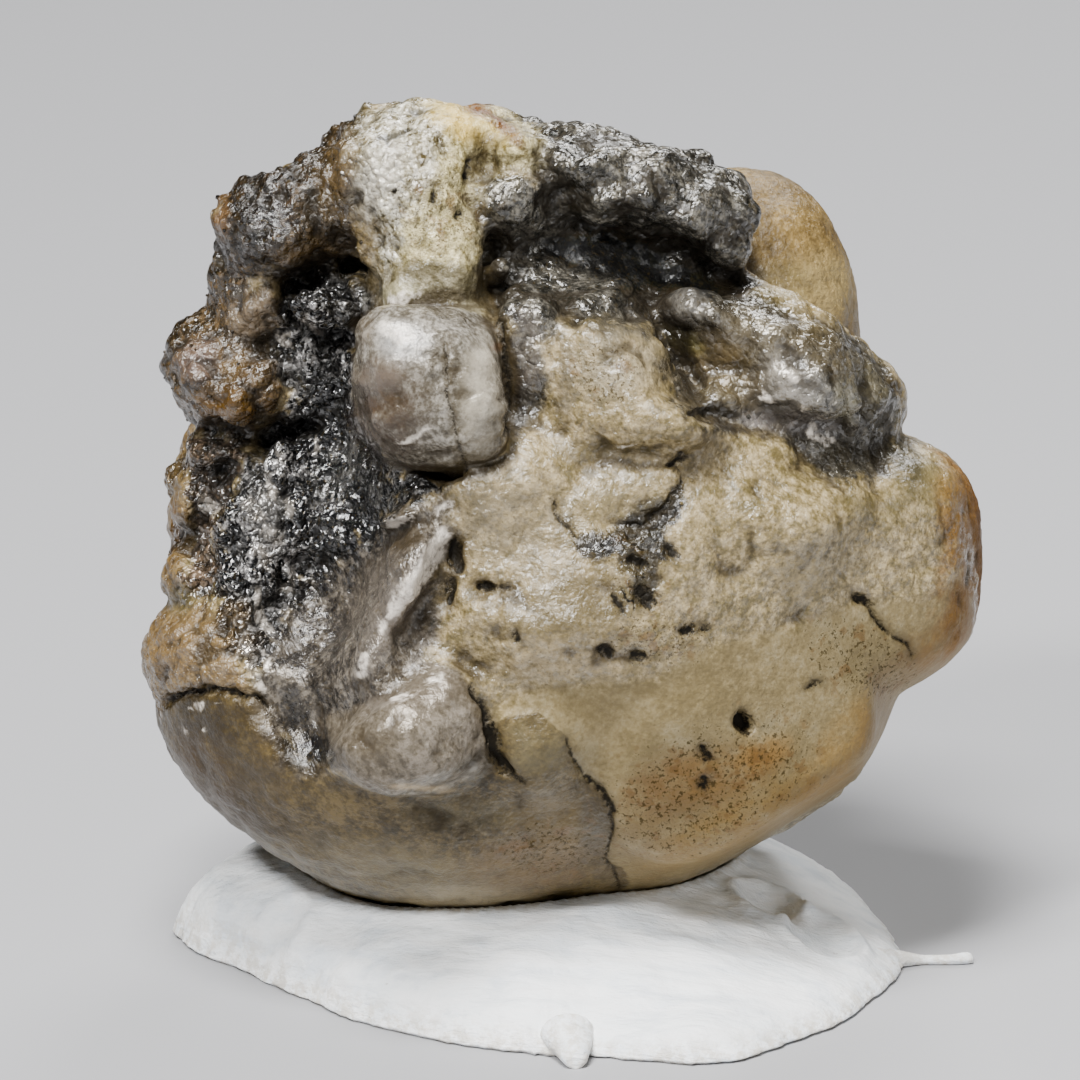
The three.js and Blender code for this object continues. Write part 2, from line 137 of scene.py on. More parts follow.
lumps = rows(formColumns, [
    ([-4.75, -1.3, 6.35], [1.7, 2.6, 1.2], 0.5, -26, 2.5),
    ([-5.55, -0.9, 5.8], [0.8, 1.9, 1.15], 0.5),
    ([-2.5, -1.7, 7], [1.7, 2.9, 1.6], 0.6, -8, 2.6),
    ([-1.1, -1, 7.7], [1.2, 2.4, 0.9], 0.5, 24),
    ([-0.5, -3, 6.6], [0.85, 1.4, 0.8], 0.35, 0, 2.6),
    ([-0.45, -2.6, 7.6], [0.65, 1.5, 0.55], 0.4),
    ([1.6, -1.2, 7], [2.2, 2.6, 1.02], 0.6, 16, 2.5),
    ([2.9, -1.1, 6.4], [1.35, 2.6, 1.1], 0.5, 20, 2.5),
    ([0.9, -2.9, 7.35], [0.9, 1.3, 0.5], 0.4, 20),
    ([1.5, -3, 6.65], [0.7, 1.2, 0.45], 0.3, 10),
    ([2.25, -3, 7], [0.6, 1.2, 0.7], 0.35, -15),
    ([3.05, -2.7, 6.45], [0.6, 1.3, 0.85], 0.3, 20),
    ([3.75, -1.7, 6.1], [0.45, 1.7, 1], 0.3, 8),
    ([-6.2, -0.6, 3.35], [1.1, 2.2, 1.25], 0.4, 0, 2.2),
    ([-6.7, -1.5, 3.5], [0.75, 1.2, 0.8], 0.3),
    ([-5.6, -2.2, 2.9], [0.8, 1.1, 0.7], 0.25),
    ([-5.5, -1.9, 4.5], [0.85, 1.2, 0.75], 0.35),
    ([-6, -1.1, 5.1], [0.55, 1.3, 0.65], 0.3),
    ([-6.75, -0.3, 0.9], [0.7, 1.4, 0.75], 0.3, 0, 2.5),
    ([-6.35, -1, 1.75], [0.7, 1.2, 0.5], 0.3),
    ([-6.75, -0.1, -0.6], [0.7, 1.5, 0.7], 0.35, 0, 2.5),
    ([-5.95, -1.6, 0.3], [0.5, 1, 0.8], 0.35, 15),
    ([-0.28, -4, 3.65], [0.72, 1.2, 1.25], 0.35, 4, 2.8),
    ([1.35, -4, 3.3], [1.2, 1.5, 1.15], 0.8, 12, 2.6),
    ([0.9, -3.4, 4.65], [1.2, 1, 0.5], 0.35, -6),
    ([2.1, -4.15, 2.35], [1.7, 1.4, 0.6], 0.8, 8),
    ([4.4, -1.3, 3.6], [2.4, 2.6, 1.35], 0.5, 24, 2.5),
    ([3.2, -3.2, 4.3], [0.8, 1, 0.6], 0.3, 10),
    ([4.7, -2.6, 3.9], [1, 1.4, 0.6], 0.35, 25),
    ([4.9, -3.1, 3], [1.05, 1.1, 0.75], 0.3, 0, 2.6),
    ([6.05, -2.1, 2.8], [0.42, 1.4, 0.85], 0.25, 5),
    ([6.6, -0.9, 2.5], [0.6, 1.7, 1], 0.35, 15),
    ([-2.75, -4.3, -1.1], [0.5, 1.35, 1.7], 0.4, 30),
    ([-2.6, -4.5, 0.5], [0.85, 0.9, 0.35], 0.3, -8),
    ([-1, -4.4, 1], [1.6, 1.2, 0.9], 0.7, -18),
    ([-3.2, -4.4, -2.5], [0.7, 1.1, 0.6], 0.35, -20),
    ([4.6, -3.4, 0.2], [1.6, 1.3, 0.9], 0.9, -10),
    ([0.3, -4.5, -1.6], [1.6, 1.3, 0.8], 0.9, 10),
    ([-3.2, 4.6, -1.6], [2.3, 1.9, 1.7], 0.35, 30, 3),
    ([-1.2, 4.9, 3.9], [1.7, 1.9, 1.5], 0.5, -20, 3),
    ([3, 4.7, -3.2], [2, 2.2, 1.3], 0.4, -18, 3),
    ([2.2, 5.4, 1.6], [0.9, 1.5, 1.9], 0.4, -15),
    ([6.4, 2.8, 1.2], [1.1, 1.7, 0.9], 0.4, 15),
])

hollows = rows(formColumns, [
    ([-4.4, -5.2, 1.6], [1.5, 2.7, 2.6], 0.7),
    ([-4.65, -5.2, -0.9], [1.5, 2.6, 2.2], 0.7, 8),
    ([-4.8, -5.1, -3.3], [0.85, 1.8, 1.3], 0.5, -25),
    ([-4.3, -4.5, 4.2], [0.95, 2, 1.3], 0.5),
    ([-5.2, -3.3, 2.05], [1.1, 1.5, 0.3], 0.2, -18),
    ([-3.8, -4.2, 5.35], [0.8, 1.5, 0.25], 0.25, 5),
    ([1.6, -4.2, 5.6], [2, 1.5, 0.42], 0.3, 8),
    ([2.5, -4, 5.75], [0.8, 1.9, 0.4], 0.3, 10),
    ([3.4, -3.3, 5.25], [0.9, 1.3, 0.35], 0.25, 15),
    ([-0.8, -4.4, 5.6], [0.5, 1, 0.22], 0.25),
    ([2.65, -4.5, 3.7], [0.35, 1.3, 1.2], 0.25, -25),
    ([4.1, -4.8, 2.3], [1.6, 0.9, 0.25], 0.3, 6),
    ([5.6, -4.3, 1.6], [0.6, 0.8, 0.3], 0.25, 25),
    ([1.7, -6.15, 1], [1.6, 1.4, 0.95], 0.25, -20),
    ([-2.15, -5.2, 1.36], [0.6, 0.8, 0.14], 0.15, 4),
    ([-1.72, -5.45, -0.35], [0.2, 0.5, 0.32], 0.35, 20),
    ([-1.8, -5.45, -1.05], [0.2, 0.5, 0.28], 0.35, -10),
    ([-1.15, -5.6, -1], [0.24, 0.42, 0.15], 0.35, -10),
    ([-1.5, -5.9, -2.5], [0.8, 0.9, 0.25], 0.2, 28),
    ([-0.88, -5.6, -4.1], [0.22, 1.1, 0.75], 0.25, -15),
    ([-0.4, 7, 1.6], [1.5, 0.9, 3.2], 0.9, 22),
    ([5.2, 6.2, -0.6], [2, 1.2, 0.7], 0.8, 10),
    ([-6, 4.6, 1.2], [0.9, 1.3, 1.5], 0.6, 15),
])

knobs = rows(formColumns, [
    ([-2.2, -3.35, 4.95], [1.05, 1.45, 0.95], 0.5, 0, 2.8),
    ([-2.3, -3.05, 6], [1.35, 1.5, 0.7], 0.6, -4),
    ([-2.1, -4.6, 2.98], [1.5, 1.8, 1.65], 0.15, -3, 3),
    ([-4.3, -3.2, 4.5], [0.7, 0.9, 0.35], 0.3, 12),
    ([-0.85, -3.5, 5.15], [0.32, 0.8, 0.3], 0.15),
    ([1.55, -4.78, 0.92], [1.3, 0.68, 0.74], 0.15, -15, 2.4),
    ([1.9, -4.75, 2.15], [1.35, 0.8, 0.3], 0.55, -7),
    ([-2.38, -4.62, -0.6], [0.36, 1.25, 1], 0.35, 28),
    ([-3.15, -4.3, -1.95], [0.42, 1.2, 0.9], 0.45, 32),
    ([-2.45, -4.6, 0.45], [0.75, 0.95, 0.16], 0.2, -18),
    ([-2.5, -4.4, -3.95], [1.5, 1.75, 1.1], 0.12, 0, 2.2),
    ([-2.2, -4.4, -3.4], [1.15, 1.6, 1], 0.6),
    ([-3.5, -4.3, -4.05], [0.75, 1.4, 0.5], 0.4, -20),
    ([-0.2, -3.8, -3.95], [0.95, 1.3, 1], 0.6, 0, 2.2),
])

# The waves that rumple the lumps, hollows and knobs along x, y and z: the height of each, how quickly
# it runs, and its start.
waves = [
    [(0.12, [0.3, 1.9, 1.3], 0.5), (0.04, [0.5, -2.9, 4.1], 1.2)],
    [(0.13, [1.5, 0.4, 1.7], 2.1), (0.04, [3.7, 0.6, 3.1], 0.4)],
    [(0.09, [1.8, 1.4, 0.3], 4.0), (0.04, [-3.3, 3.9, 0.5], 2.7)],
]

# The grid that the skin is cast on, in millimetres: its cell, the room it leaves round the crystal, how
# far round itself each form is worked out, and how far the skin is drawn in. hollowed and crested are
# how far off the skin its hollows and its crests are felt for.
skin = {
    "cell": 0.09, "quickCell": 0.16, "margin": 0.8, "round": 0.4, "tuck": 0.03,
    "hollowed": 0.5, "crested": 0.4, "triangles": 190000,
}


def distanceTo(form, x, y, z):
    cx, cy, cz = form["at"]
    rx, ry, rz = form["size"]
    power = form.get("square", 2)
    roll = math.radians(form.get("roll", 0))
    c, s = math.cos(roll), math.sin(roll)
    u = np.abs(((x - cx) * c - (z - cz) * s) / rx)
    v = np.abs((y - cy) / ry)
    w = np.abs(((x - cx) * s + (z - cz) * c) / rz)
    if power == 2:
        reach = np.sqrt((u * u + w * w) + v * v)
        slope = np.sqrt(((u / rx) ** 2 + (w / rz) ** 2) + (v / ry) ** 2)
        return reach * (reach - 1) / np.maximum(slope, 1e-9)
    total = (u**power + w**power) + v**power
    reach = total ** (1 / power)
    edge = power - 1
    slope = np.sqrt(((u**edge / rx) ** 2 + (w**edge / rz) ** 2) + (v**edge / ry) ** 2) * reach / total
    return (reach - 1) / np.maximum(slope, 1e-9)


def join(a, b, soft):
    # the lower of two distances, rounded off where they meet
    h = np.maximum(soft - np.abs(a - b), 0) / soft
    return np.minimum(a, b) - h * h * soft / 4


def crystalField(low, count, cell):
    # signed distance from the crystal's surface on a grid, negative inside
    x, y, z = (low[k] + cell * np.arange(count[k], dtype=np.float32) for k in range(3))
    x, y, z = x[:, None, None], y[None, :, None], z[None, None, :]
    field = np.full(count, 50, np.float32)  # far outside everything
    for form in masses:
        field = join(field, distanceTo(form, x, y, z).astype(np.float32), form["soft"])
    for face in faces:
        out = Vector(face["out"]).normalized()
        beyond = out.x * x + out.y * y + out.z * z - out.dot(Vector(face["at"]))
        field = -join(-field, -beyond.astype(np.float32), face["soft"])
    print("masses and faces joined")
    rumpled = []
    for own, ways in zip((x, y, z), waves):
        moved = own
        for height, run, start in ways:
            moved = moved + height * np.sin(run[0] * x + run[1] * y + run[2] * z + start)
        rumpled.append(moved.astype(np.float32))
    steps = [(form, 1) for form in lumps] + [(form, -1) for form in hollows] + [(form, 1) for form in knobs]
    for form, sign in steps:
        roll = math.radians(form.get("roll", 0))
        c, s = abs(math.cos(roll)), abs(math.sin(roll))
        rx, ry, rz = form["size"]
        half = np.array([rx * c + rz * s, ry, rx * s + rz * c]) + form["soft"] + skin["round"]
        first = np.maximum(np.floor((form["at"] - half - low) / cell).astype(int), 0)
        last = np.minimum(np.ceil((form["at"] + half - low) / cell).astype(int) + 1, count)
        block = tuple(slice(a, b) for a, b in zip(first, last))
        reach = distanceTo(form, *(axis[block] for axis in rumpled)).astype(np.float32)
        field[block] = sign * join(sign * field[block], reach, form["soft"])
    print("relief joined")
    return field


cubeCorners = [(i, j, k) for i in (0, 1) for j in (0, 1) for k in (0, 1)]


def castSkin(field, low, cell):
    # a point in every grid cube that the surface passes through, and a quad round every edge it cuts
    inside = field < 0
    shape = [n - 1 for n in field.shape]
    filled = np.zeros(shape, np.uint8)
    for i, j, k in cubeCorners:
        filled += inside[i:i + shape[0], j:j + shape[1], k:k + shape[2]]
    active = (filled > 0) & (filled < 8)
    number = np.full(shape, -1, np.int32)
    number[active] = np.arange(active.sum())
    cubes = np.argwhere(active)
    values = {corner: field[tuple((cubes + corner).T)] for corner in cubeCorners}
    total = np.zeros(cubes.shape)
    cuts = np.zeros(len(cubes))
    for a in cubeCorners:
        for axis in range(3):
            if a[axis] == 1:
                continue
            b = tuple(1 if k == axis else a[k] for k in range(3))
            cut = (values[a] < 0) != (values[b] < 0)
            along = np.where(cut, values[a] / np.where(cut, values[a] - values[b], 1), 0)
            total += np.where(cut[:, None], a, 0)
            total[:, axis] += along
            cuts += cut
    points = low + (cubes + total / cuts[:, None]) * cell
    quads = []
    for axis in range(3):
        order = [axis, (axis + 1) % 3, (axis + 2) % 3]
        turned = inside.transpose(order)
        named = number.transpose(order)
        i, j, k = np.nonzero(turned[:-1, 1:-1, 1:-1] != turned[1:, 1:-1, 1:-1])
        ring = [named[i, j, k], named[i, j + 1, k], named[i, j + 1, k + 1], named[i, j, k + 1]]
        ring = np.stack(ring, axis=1)
        outward = turned[i, j + 1, k + 1]
        quads.append(np.where(outward[:, None], ring, ring[:, ::-1]))
    return points, np.concatenate(quads)


def sample(grid, points):
    # the field's value at any points, from the eight grid points round each
    field, low, cell = grid
    place = np.clip((points - low) / cell, 0, np.array(field.shape) - 1.001)
    base = place.astype(int)
    part = place - base
    value = 0
    for corner in cubeCorners:
        near = np.abs(1 - np.array(corner) - part)
        i, j, k = (base + corner).T
        value = value + near[:, 0] * near[:, 1] * near[:, 2] * field[i, j, k]
    return value


def slopeOf(grid, points):
    # the way out of the surface at each point
    steps = np.eye(3) * grid[2]
    slope = np.stack([sample(grid, points + step) - sample(grid, points - step) for step in steps], axis=1)
    return slope / np.maximum(np.linalg.norm(slope, axis=1, keepdims=True), 1e-9)


# Each area of the skin is an outline on the front, x and z as they are seen from straight ahead, and
# reaches back to y = back. Others take in a form that stands behind, or wander over the sides and the
# back as a patch, and begin at y = front. soft and ragged, in millimetres, are how gently and how
# raggedly an area's edge runs out. tones are its dark, middle and light colours, and fine says how
# small their pattern is. lumps, knobs, grains, ribs, streaks and wrinkles are the heights of its small
# forms in millimetres, glint how much its facets sparkle, and crust the number of loose grains on a
# square millimetre.
areas = [
    dict(name="greyBack", patch={"run": [0.5, 0.42, 0.6], "start": 0.4, "level": 0.15}, front=1.2, soft=0.3,
         ragged=1.2, fine=0.3, rough=0.4, metal=0, glint=0.25,
         tones=[(58, 51, 38), (84, 75, 58), (114, 104, 84)], lumps=0.14, knobs=0.05, grains=0.02),
    dict(name="crustedBack", patch={"run": [-0.7, 0.35, 0.5], "start": 2.4, "level": 0.55}, front=1.6,
         soft=0.15, ragged=0.9, fine=0.8, rough=0.3, metal=0.1, glint=0.5,
         tones=[(22, 19, 14), (50, 44, 34), (92, 82, 66)], lumps=0.22, knobs=0.16, grains=0.03, crust=0.5),
    dict(name="calm", soft=0.25, ragged=0.7, fine=0.35, rough=0.46, metal=0, glint=0.2,
         tones=[(106, 92, 60), (124, 109, 75), (139, 126, 94)], lumps=0.04, grains=0.014, outline=[
            [-0.9, -3.3], [0, -2.95], [1, -2.8], [2.2, -2.75], [3.2, -2.2], [4.2, -1.9], [5.5, -1.6],
            [6.3, -1.2], [7.6, -1.2], [9.5, -0.5], [9.5, -3.5], [7, -5.5], [5, -7], [1.5, -8], [-1, -8],
            [-0.9, -5]]),
    dict(name="amber", back=2.5, soft=0.2, ragged=0.5, fine=0.7, rough=0.28, metal=0, glint=0.65,
         tones=[(62, 46, 18), (97, 76, 40), (134, 111, 72)], lumps=0.1, knobs=0.14, grains=0.07, outline=[
            [-8.6, 2.4], [-7.15, 2.4], [-7.2, 1], [-7.1, 0], [-7.2, -0.9], [-6.7, -1.3], [-6.1, -2.1],
            [-5.8, -2.8], [-5.4, -3.15], [-8.6, -3.1]]),
    # rim: the right edge's rust-orange stain, with a painted glow of light through the thin edge
    dict(name="rim", back=3.5, soft=0.6, ragged=0.8, fine=0.4, rough=0.65, metal=0, glint=0.15,
         tones=[(84, 48, 0), (106, 66, 8), (124, 90, 34)], lumps=0.1, knobs=0.08, grains=0.05, outline=[
            [8.2, 1.9], [8.15, 0.9], [8.35, 0], [8.25, -1.2], [8.3, -2.6], [9.6, -2.6], [9.6, 1.9]]),
    dict(name="dome", back=2.5, soft=0.03, ragged=0.16, fine=0.5, rough=0.38, metal=0, glint=0.3,
         tones=[(44, 35, 14), (71, 58, 29), (100, 84, 50)], lumps=0.09, wrinkles=0.07, knobs=0.04,
         grains=0.022, outline=[
            [-9.5, -3.1], [-5.5, -3.1], [-5.3, -3.7], [-4.9, -4.3], [-3.4, -5], [-2.4, -5.1], [-1.4, -4.7],
            [-0.9, -4.3], [-0.8, -3.5], [0, -3.4], [0.5, -3.9], [0.85, -4.75], [1.25, -5.05], [1.5, -5.4],
            [1.4, -6.1], [1.3, -6.35], [1.6, -6.7], [1.5, -7.6], [1, -9], [-9.5, -9]]),
    dict(name="slope", soft=0.25, ragged=0.7, fine=0.6, rough=0.22, metal=0.4, glint=0.5,
         tones=[(34, 31, 28), (76, 70, 62), (134, 125, 112)], streaks=0.16, lumps=0.12, knobs=0.08,
         grains=0.02, outline=[
            [-2.9, 0.8], [-1.9, 0.9], [-1.85, 0.1], [-2, -1.3], [-2.2, -2.2], [-2, -2.6], [-3, -3.3],
            [-4.1, -4.5], [-4.8, -4.7], [-5.5, -3.8], [-5.8, -3.1], [-5.7, -2], [-5.2, -1.2], [-4.5, -0.3],
            [-3.6, 0.3]]),
    dict(name="pebble", soft=0.06, ragged=0.1, fine=0.6, rough=0.28, metal=0.3, glint=0.35,
         tones=[(76, 68, 55), (106, 97, 83), (134, 124, 110)], lumps=0.1, knobs=0.07, grains=0.014, outline=[
            [-4.3, -3.5], [-3.1, -3.15], [-2.2, -2.4], [-1.6, -2.6], [-1, -3.5], [-0.85, -4.2],
            [-1.35, -4.75], [-2.4, -5.15], [-3.3, -5.05], [-4.1, -4.6]]),
    dict(name="ridge", back=1.5, soft=0.3, ragged=0.7, fine=0.8, rough=0.2, metal=0.05, glint=0.7,
         tones=[(12, 9, 5), (32, 24, 12), (68, 53, 32)], ribs=0.6, lumps=0.05, knobs=0.16, grains=0.06,
         crust=2, outline=[
            [-5, 5.3], [-6, 5], [-6.9, 5.6], [-6.6, 7.2], [-5.2, 8], [-4.3, 8.7], [-3.5, 8.8], [-3.4, 7.4],
            [-3.6, 6.4], [-3.4, 5.7], [-4.2, 5.4]]),
    dict(name="lobes", back=1.5, soft=0.15, ragged=0.6, fine=0.8, rough=0.22, metal=0.1, glint=0.7,
         tones=[(20, 15, 7), (50, 39, 21), (90, 72, 48)], lumps=0.1, knobs=0.2, grains=0.06, crust=2,
         outline=[
            [-8.2, 2.9], [-8.2, 4.2], [-6.9, 4.9], [-6.8, 5.5], [-5.9, 5.3], [-5.4, 5], [-5.2, 4.3],
            [-5.4, 3.6], [-5, 3], [-5.3, 2.4], [-6, 2.1], [-7, 2.25], [-8.2, 2.2]]),
    dict(name="trough", soft=0.15, ragged=0.8, fine=0.6, rough=0.14, metal=0.55, glint=1,
         tones=[(8, 8, 9), (28, 28, 28), (190, 186, 182)], lumps=0.3, knobs=0.36, grains=0.04, crust=0.7,
         outline=[
            [-4, 5.55], [-3.3, 4.7], [-3.6, 3.9], [-3.4, 2.3], [-2.9, 1.5], [-2.2, 1.25], [-1.9, 1.05],
            [-2.9, 0.75], [-3.3, 0.1], [-4.1, -0.6], [-4.9, -1.3], [-5.3, -2.1], [-5.7, -2.9], [-6.3, -2.2],
            [-6.6, -1.2], [-6.5, 0.2], [-6.1, 1.3], [-5.4, 2.1], [-4.9, 2.9], [-5.4, 3.6], [-5.2, 4.3],
            [-5, 5.3]]),
    dict(name="bronze", soft=0.12, ragged=0.6, fine=0.55, rough=0.15, metal=0.4, glint=0.95,
         tones=[(28, 22, 15), (68, 56, 43), (136, 114, 93)], lumps=0.24, knobs=0.28, grains=0.04, crust=1,
         outline=[
            [-7.15, 2.3], [-5.9, 2.05], [-6.1, 1.2], [-6.5, 0.2], [-6.6, -1.25], [-7.2, -1.2], [-7.2, 0.4]]),
    dict(name="streaked", soft=0.3, ragged=0.7, fine=0.5, rough=0.2, metal=0.45, glint=0.75,
         tones=[(10, 10, 11), (28, 28, 27), (84, 82, 78)], streaks=0.12, lumps=0.18, knobs=0.16, grains=0.02,
         crust=0.7, outline=[
            [-4.5, 3], [-3.5, 2.9], [-3.1, 1.8], [-2.7, 0.9], [-3.2, 0.3], [-4, -0.6], [-4.6, -1.2],
            [-4.6, 0.3], [-4.7, 1.8]]),
    dict(name="steel", back=2.6, soft=0.25, ragged=0.7, fine=0.6, rough=0.2, metal=0.35, glint=0.68,
         tones=[(26, 25, 21), (62, 59, 52), (118, 113, 102)], lumps=0.3, knobs=0.13, grains=0.02, crust=0.3,
         outline=[
            [-0.9, 9.3], [1.2, 9.2], [2.3, 8.8], [3.3, 8.4], [4.6, 7.6], [4.4, 6.3], [4.35, 5.3],
            [4.6, 4.95], [5.8, 4.5], [6.6, 4.2], [7.2, 3.5], [7.25, 2.5], [7.1, 1.8], [6.95, 1.35],
            [6.6, 1.2], [6.2, 1.15], [5.8, 1.15], [5.2, 1.75], [4.6, 2.15], [3.6, 2.1], [2.7, 2.8],
            [2.4, 3.7], [2.2, 4.3], [1.4, 4.2], [0.5, 4.45], [0.15, 4], [0.05, 3.3], [0.15, 2.8],
            [-0.05, 2.35], [-0.6, 2.15], [-0.7, 3], [-0.7, 4.2], [-1.1, 4.8], [-1.3, 5.5], [-1.3, 6.2],
            [-1.25, 7.4], [-0.15, 7.35], [0.05, 7.9], [-0.5, 8.3]]),
    dict(name="cap", back=0.8, soft=0.35, ragged=0.9, fine=0.8, rough=0.18, metal=0.1, glint=0.78,
         tones=[(74, 64, 38), (148, 140, 116), (212, 206, 188)], lumps=0.12, ribs=0.22, knobs=0.17,
         grains=0.05, outline=[
            [-3.75, 8.1], [-3, 9], [-1.9, 9.2], [-0.9, 9], [-0.2, 8.2], [-0.1, 7.45], [-1.2, 7.4],
            [-1.3, 6.2], [-1.2, 5.4], [-1.2, 4.5], [-3.1, 4.6], [-3.3, 5.1], [-3.2, 5.7], [-3.5, 6.5],
            [-3.6, 7.4]]),
    dict(name="capPale", back=0.8, soft=0.2, ragged=0.5, fine=0.7, rough=0.34, metal=0, glint=0.5,
         tones=[(92, 80, 38), (168, 156, 112), (222, 208, 158)], lumps=0.12, knobs=0.13, grains=0.045,
         outline=[
            [-2.3, 8.9], [-0.9, 9], [-0.2, 8.2], [-0.1, 7.45], [-1.2, 7.4], [-1.3, 6.2], [-1.2, 5.3],
            [-2.9, 5.3], [-2.7, 6.3], [-2.2, 7.1], [-1.9, 7.9]]),
    dict(name="neck", soft=0.15, ragged=0.3, fine=0.5, rough=0.4, metal=0, glint=0.4,
         tones=[(68, 61, 37), (110, 102, 76), (160, 151, 124)], lumps=0.1, knobs=0.09, grains=0.03, outline=[
            [-3.15, 4.4], [-3.15, 5.35], [-2.2, 5.55], [-1.05, 5.4], [-1, 4.4]]),
    dict(name="barrel", back=-3.6, soft=0.04, ragged=0.1, fine=0.4, rough=0.24, metal=0.15, glint=0.3,
         tones=[(54, 48, 38), (96, 90, 79), (154, 148, 137)], lumps=0.14, wrinkles=0.34, knobs=0.04,
         grains=0.014, outline=[
            [-3.8, 4.4], [-3.8, 3], [-3.45, 2.1], [-2.9, 1.45], [-1.9, 1.15], [-1.1, 1.25], [-0.6, 2.1],
            [-0.5, 3.2], [-0.7, 4], [-1.2, 4.55], [-2.2, 4.75], [-3.1, 4.7]]),
    dict(name="honey", form={"at": [4.1, 3.8, 4.5], "size": [2.6, 3.15, 3.3], "roll": -1, "square": 2.3},
         front=0.9, soft=0.35, ragged=0.6, fine=0.45, rough=0.45, metal=0, glint=0.3,
         tones=[(84, 66, 32), (108, 87, 46), (132, 109, 64)], lumps=0.09, streaks=0.07, knobs=0.03,
         grains=0.035),
    # gap: near black under the crest's overhang, dark crust with painted shade
    dict(name="gap", back=3, soft=0.2, ragged=0.4, fine=0.6, rough=0.4, metal=0.1, glint=0.55,
         tones=[(8, 8, 8), (15, 15, 14), (48, 46, 42)], lumps=0.2, knobs=0.14, grains=0.02, outline=[
            [0.1, 6], [0.9, 6.25], [1.6, 6.2], [2.3, 5.85], [3.1, 5.35], [3.7, 5.1], [3.2, 4.85], [2.4, 5],
            [1.6, 5.15], [0.9, 5.4], [0.2, 5.55]]),
    dict(name="crumbs", soft=0.08, ragged=0.4, fine=0.8, rough=0.2, metal=0.05, glint=0.75,
         tones=[(12, 11, 8), (25, 22, 17), (52, 47, 38)], lumps=0.08, knobs=0.12, grains=0.06, crust=3,
         outline=[
            [0.45, 0.5], [0.75, 0.15], [1.2, 0.08], [1.5, 0.3], [1.8, 0.6], [2.3, 0.75], [2.65, 1.15],
            [2.95, 1.25], [2.75, 0.5], [2.5, 0.1], [2.75, -0.3], [2.35, -0.4], [2.3, -0.75], [2.4, -1.25],
            [1.75, -1.25], [1.7, -0.6], [1.5, -0.3], [1.1, -0.35], [0.65, -0.1]]),
]

# The stone where none of the areas lies.
ground = dict(fine=0.75, rough=0.34, metal=0, glint=0.6,
              tones=[(94, 82, 48), (130, 114, 78), (166, 149, 113)], lumps=0.12, knobs=0.08, grains=0.03)
